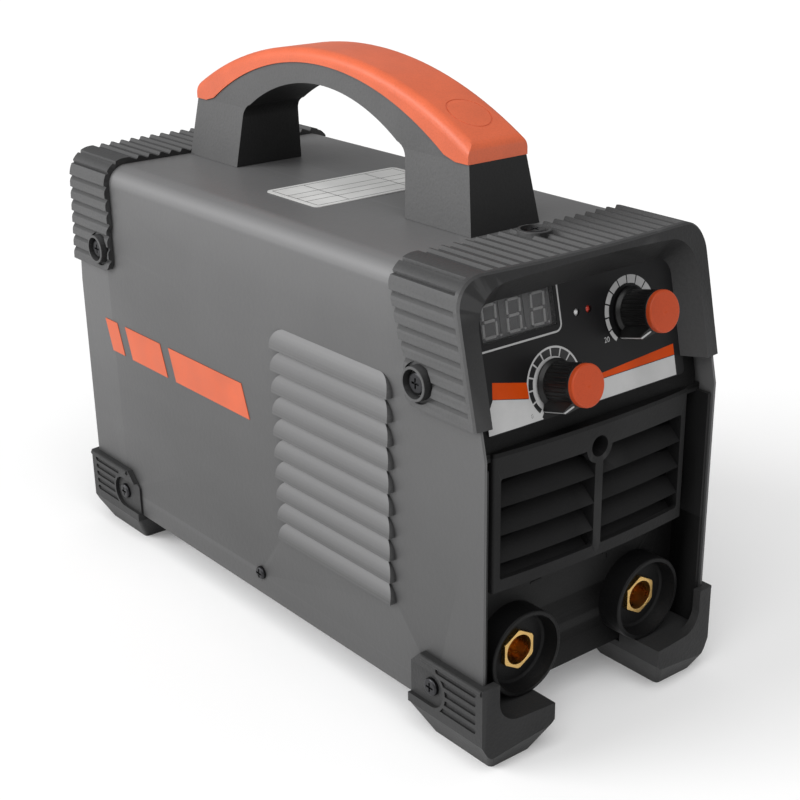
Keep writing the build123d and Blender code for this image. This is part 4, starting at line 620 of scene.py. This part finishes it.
def number(text, x, up, size, name, mat):
    """A plain number on a dial, turned from Blender's own text into a thin mesh."""
    curve = bpy.data.curves.new(name, "FONT")
    curve.body = text
    curve.size = size
    curve.align_x = "CENTER"
    curve.align_y = "CENTER"
    curve.extrude = NUMBER_HALF
    holder = bpy.data.objects.new(name + "_holder", curve)
    bpy.context.scene.collection.objects.link(holder)
    bpy.context.view_layer.update()
    mesh = bpy.data.meshes.new_from_object(holder)
    bpy.data.objects.remove(holder)
    for vertex in mesh.vertices:
        local = vertex.co.copy()
        vertex.co = face_point(x + local.x, up + local.y, FACE_SKIN - SINK + NUMBER_HALF + local.z)
    mesh.materials.clear()
    mesh.materials.append(mat)
    obj = bpy.data.objects.new(name, mesh)
    bpy.context.scene.collection.objects.link(obj)
    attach(obj, "case")


number("20", CURRENT_X - 14.9, CURRENT_UP - 9.0, LARGE_NUMBER, "number_20", GREY_INK)
number("160", CURRENT_X + 15.4, CURRENT_UP - 9.0, LARGE_NUMBER, "number_160", GREY_INK)
number("0", ARC_X - 13.6, ARC_UP - 10.2, SMALL_NUMBER, "number_0", DARK_INK)
number("10", ARC_X + 14.4, ARC_UP - 10.2, SMALL_NUMBER, "number_10", DARK_INK)

# polarity marks above the sockets, on the recessed panel
PANEL_SETBACK = 3.0     # the recessed panel lies this far behind the sockets' mount
PANEL_Y = MOUNTS["socket_negative"]["pos_m"][1] + PANEL_SETBACK * MM


def panel_point(x, up, out):
    """A point on the recessed front panel: millimetres across, above the floor and out of it."""
    return Vector((x * MM, PANEL_Y - out * MM, up * MM))


def marks(name, outlines, place, mat, low=-0.02, high=0.25, body="case"):
    bm = bmesh.new()
    for outline in outlines:
        prism(bm, outline, low, high, place)
    new_piece(name, bm, mat, body)


SOCKET_X = MOUNTS["socket_positive"]["pos_m"][0] / MM
SOCKET_UP = MOUNTS["socket_positive"]["pos_m"][2] / MM
mark_up = SOCKET_UP + 24.0
marks("polarity_marks", [bar(-SOCKET_X + 12, mark_up, -SOCKET_X + 18, mark_up, 1.0),
                         bar(SOCKET_X - 18, mark_up, SOCKET_X - 12, mark_up, 1.0),
                         bar(SOCKET_X - 15, mark_up - 3, SOCKET_X - 15, mark_up - 0.5, 1.0),
                         bar(SOCKET_X - 15, mark_up + 0.5, SOCKET_X - 15, mark_up + 3, 1.0)],
      panel_point, MATERIALS["black_plastic"])

# label on the roof: a thin frame and a plain grid, no text
label_low, label_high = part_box("roof_label")
LABEL_Z = label_high[2]


def label_point(x, y, out):
    return Vector((x * MM, y * MM, LABEL_Z + out * MM))


lx0, ly0, lx1, ly1 = (label_low[0] / MM + 2.5, label_low[1] / MM + 2.5, label_high[0] / MM - 2.5,
                      label_high[1] / MM - 2.5)
grid = [bar(lx0, y, lx1, y, 0.4) for y in (ly0, ly0 + 9, ly0 + 16, ly0 + 23, ly1)]
grid += [bar(x, ly0 + 0.2, x, ly1 - 0.2, 0.4) for x in (lx0, lx0 + 17, lx0 + 52, lx1)]
marks("label_grid", grid, label_point, printed("label_ink", (0.10, 0.10, 0.10)), -0.01, 0.04)

# rocker marks: a stroke for on and a ring for off, on the key's hollow face
ROCKER_PIVOT = Vector(JOINTS["power_rocker"]["pos_m"])
ROCKER_REST = math.radians(-9.0)
ROCKER_HALF = 12.0


def rocker_point(x, up, out):
    """A point on the rocker's hollow face, from millimetres across and up the key."""
    depth = 3.3 + 1.9 * (up / ROCKER_HALF) ** 2 + out
    y = depth * math.cos(ROCKER_REST) - up * math.sin(ROCKER_REST)
    z = depth * math.sin(ROCKER_REST) + up * math.cos(ROCKER_REST)
    return ROCKER_PIVOT + Vector((x, y, z)) * MM


off_ring = [sector(0, -6.0, 1.5, 2.2, 40 * i, 40 * i + 40, 3) for i in range(9)]
marks("rocker_marks", [bar(0, 4.0, 0, 8.2, 0.8)] + off_ring, rocker_point, WHITE,
      -0.05, 0.05, "rocker")

# earth mark under its stud on the rear panel
stud_low, stud_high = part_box("earth_stud")
STUD_X, STUD_UP = (stud_low[0] + stud_high[0]) / 2 / MM, stud_low[2] / MM
REAR_SETBACK = 3.0      # the rear panel's face lies this far behind the rocker's pin
REAR_FACE_Y = ROCKER_PIVOT.y + REAR_SETBACK * MM


def rear_point(x, up, out):
    """A point on the rear panel: millimetres across, above the floor and out of it."""
    return Vector((x * MM, REAR_FACE_Y + out * MM, up * MM))


marks("earth_mark", [bar(STUD_X, STUD_UP - 2.0, STUD_X, STUD_UP - 4.4, 0.7),
                     bar(STUD_X - 3.0, STUD_UP - 4.7, STUD_X + 3.0, STUD_UP - 4.7, 0.7),
                     bar(STUD_X - 1.9, STUD_UP - 6.1, STUD_X + 1.9, STUD_UP - 6.1, 0.7),
                     bar(STUD_X - 0.8, STUD_UP - 7.5, STUD_X + 0.8, STUD_UP - 7.5, 0.7)],
      rear_point, GREY_INK, -0.02, 0.06)

# ---------------------------------------------------------------- floor, light and camera
floor_mesh = bpy.data.meshes.new("floor")
bm = bmesh.new()
bmesh.ops.create_grid(bm, x_segments=8, y_segments=8, size=9.0)
bm.to_mesh(floor_mesh)
bm.free()
floor = bpy.data.objects.new("floor", floor_mesh)
bpy.context.scene.collection.objects.link(floor)
floor_shader = Shader("floor_paper")
paper = floor_shader.ramp(floor_shader.noise(3.0), 0.3, 0.7, (0.86, 0.86, 0.86), (0.89, 0.89, 0.89))
tooth = floor_shader.spread(floor_shader.noise(20.0), 0.85, 0.95)
floor_paper = floor_shader.finish(paper, tooth, Specular_IOR_Level=0.1, Emission_Strength=0.10)
floor_mesh.materials.append(floor_paper)


def sun(name, direction, strength, angle):
    """A distant soft light that shines from the given direction."""
    lamp = bpy.data.lights.new(name, "SUN")
    lamp.energy = strength
    lamp.angle = math.radians(angle)
    obj = bpy.data.objects.new(name, lamp)
    obj.rotation_euler = Vector(direction).to_track_quat("Z", "Y").to_euler()
    bpy.context.scene.collection.objects.link(obj)


sun("key_left", (-0.78, 0.45, 0.43), 2.0, 40)
sun("fill_top", (-0.35, -0.45, 0.82), 1.8, 60)
world = bpy.data.worlds.new("studio")
world.use_nodes = True
background = next(n for n in world.node_tree.nodes if n.type == "BACKGROUND")
background.inputs["Color"].default_value = (1.0, 1.0, 1.0, 1)
background.inputs["Strength"].default_value = 0.35
bpy.context.scene.world = world
bpy.context.scene.view_settings.view_transform = "Standard"

case_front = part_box("cover_shell")[0][1]
CAMERA_AT = Vector((-0.4063, case_front - 0.3822085, 0.3613))
CAMERA_RIGHT = Vector((0.77021, -0.63775, -0.00750))
CAMERA_AHEAD = Vector((0.58591, 0.71215, -0.38671))
camera_data = bpy.data.cameras.new("camera")
camera_data.sensor_width = 36.0
camera_data.lens = 67.96
camera_data.shift_x = -0.0357
camera_data.shift_y = 0.0487
camera = bpy.data.objects.new("camera", camera_data)
back = -CAMERA_AHEAD.normalized()
side = (CAMERA_RIGHT - back * CAMERA_RIGHT.dot(back)).normalized()
top = back.cross(side)
turn = Matrix((side, top, back)).transposed()
camera.matrix_world = Matrix.Translation(CAMERA_AT) @ turn.to_4x4()
bpy.context.scene.collection.objects.link(camera)
bpy.context.scene.camera = camera

for node_name, width in BEVELS.items():
    dress(NODES[node_name], width)
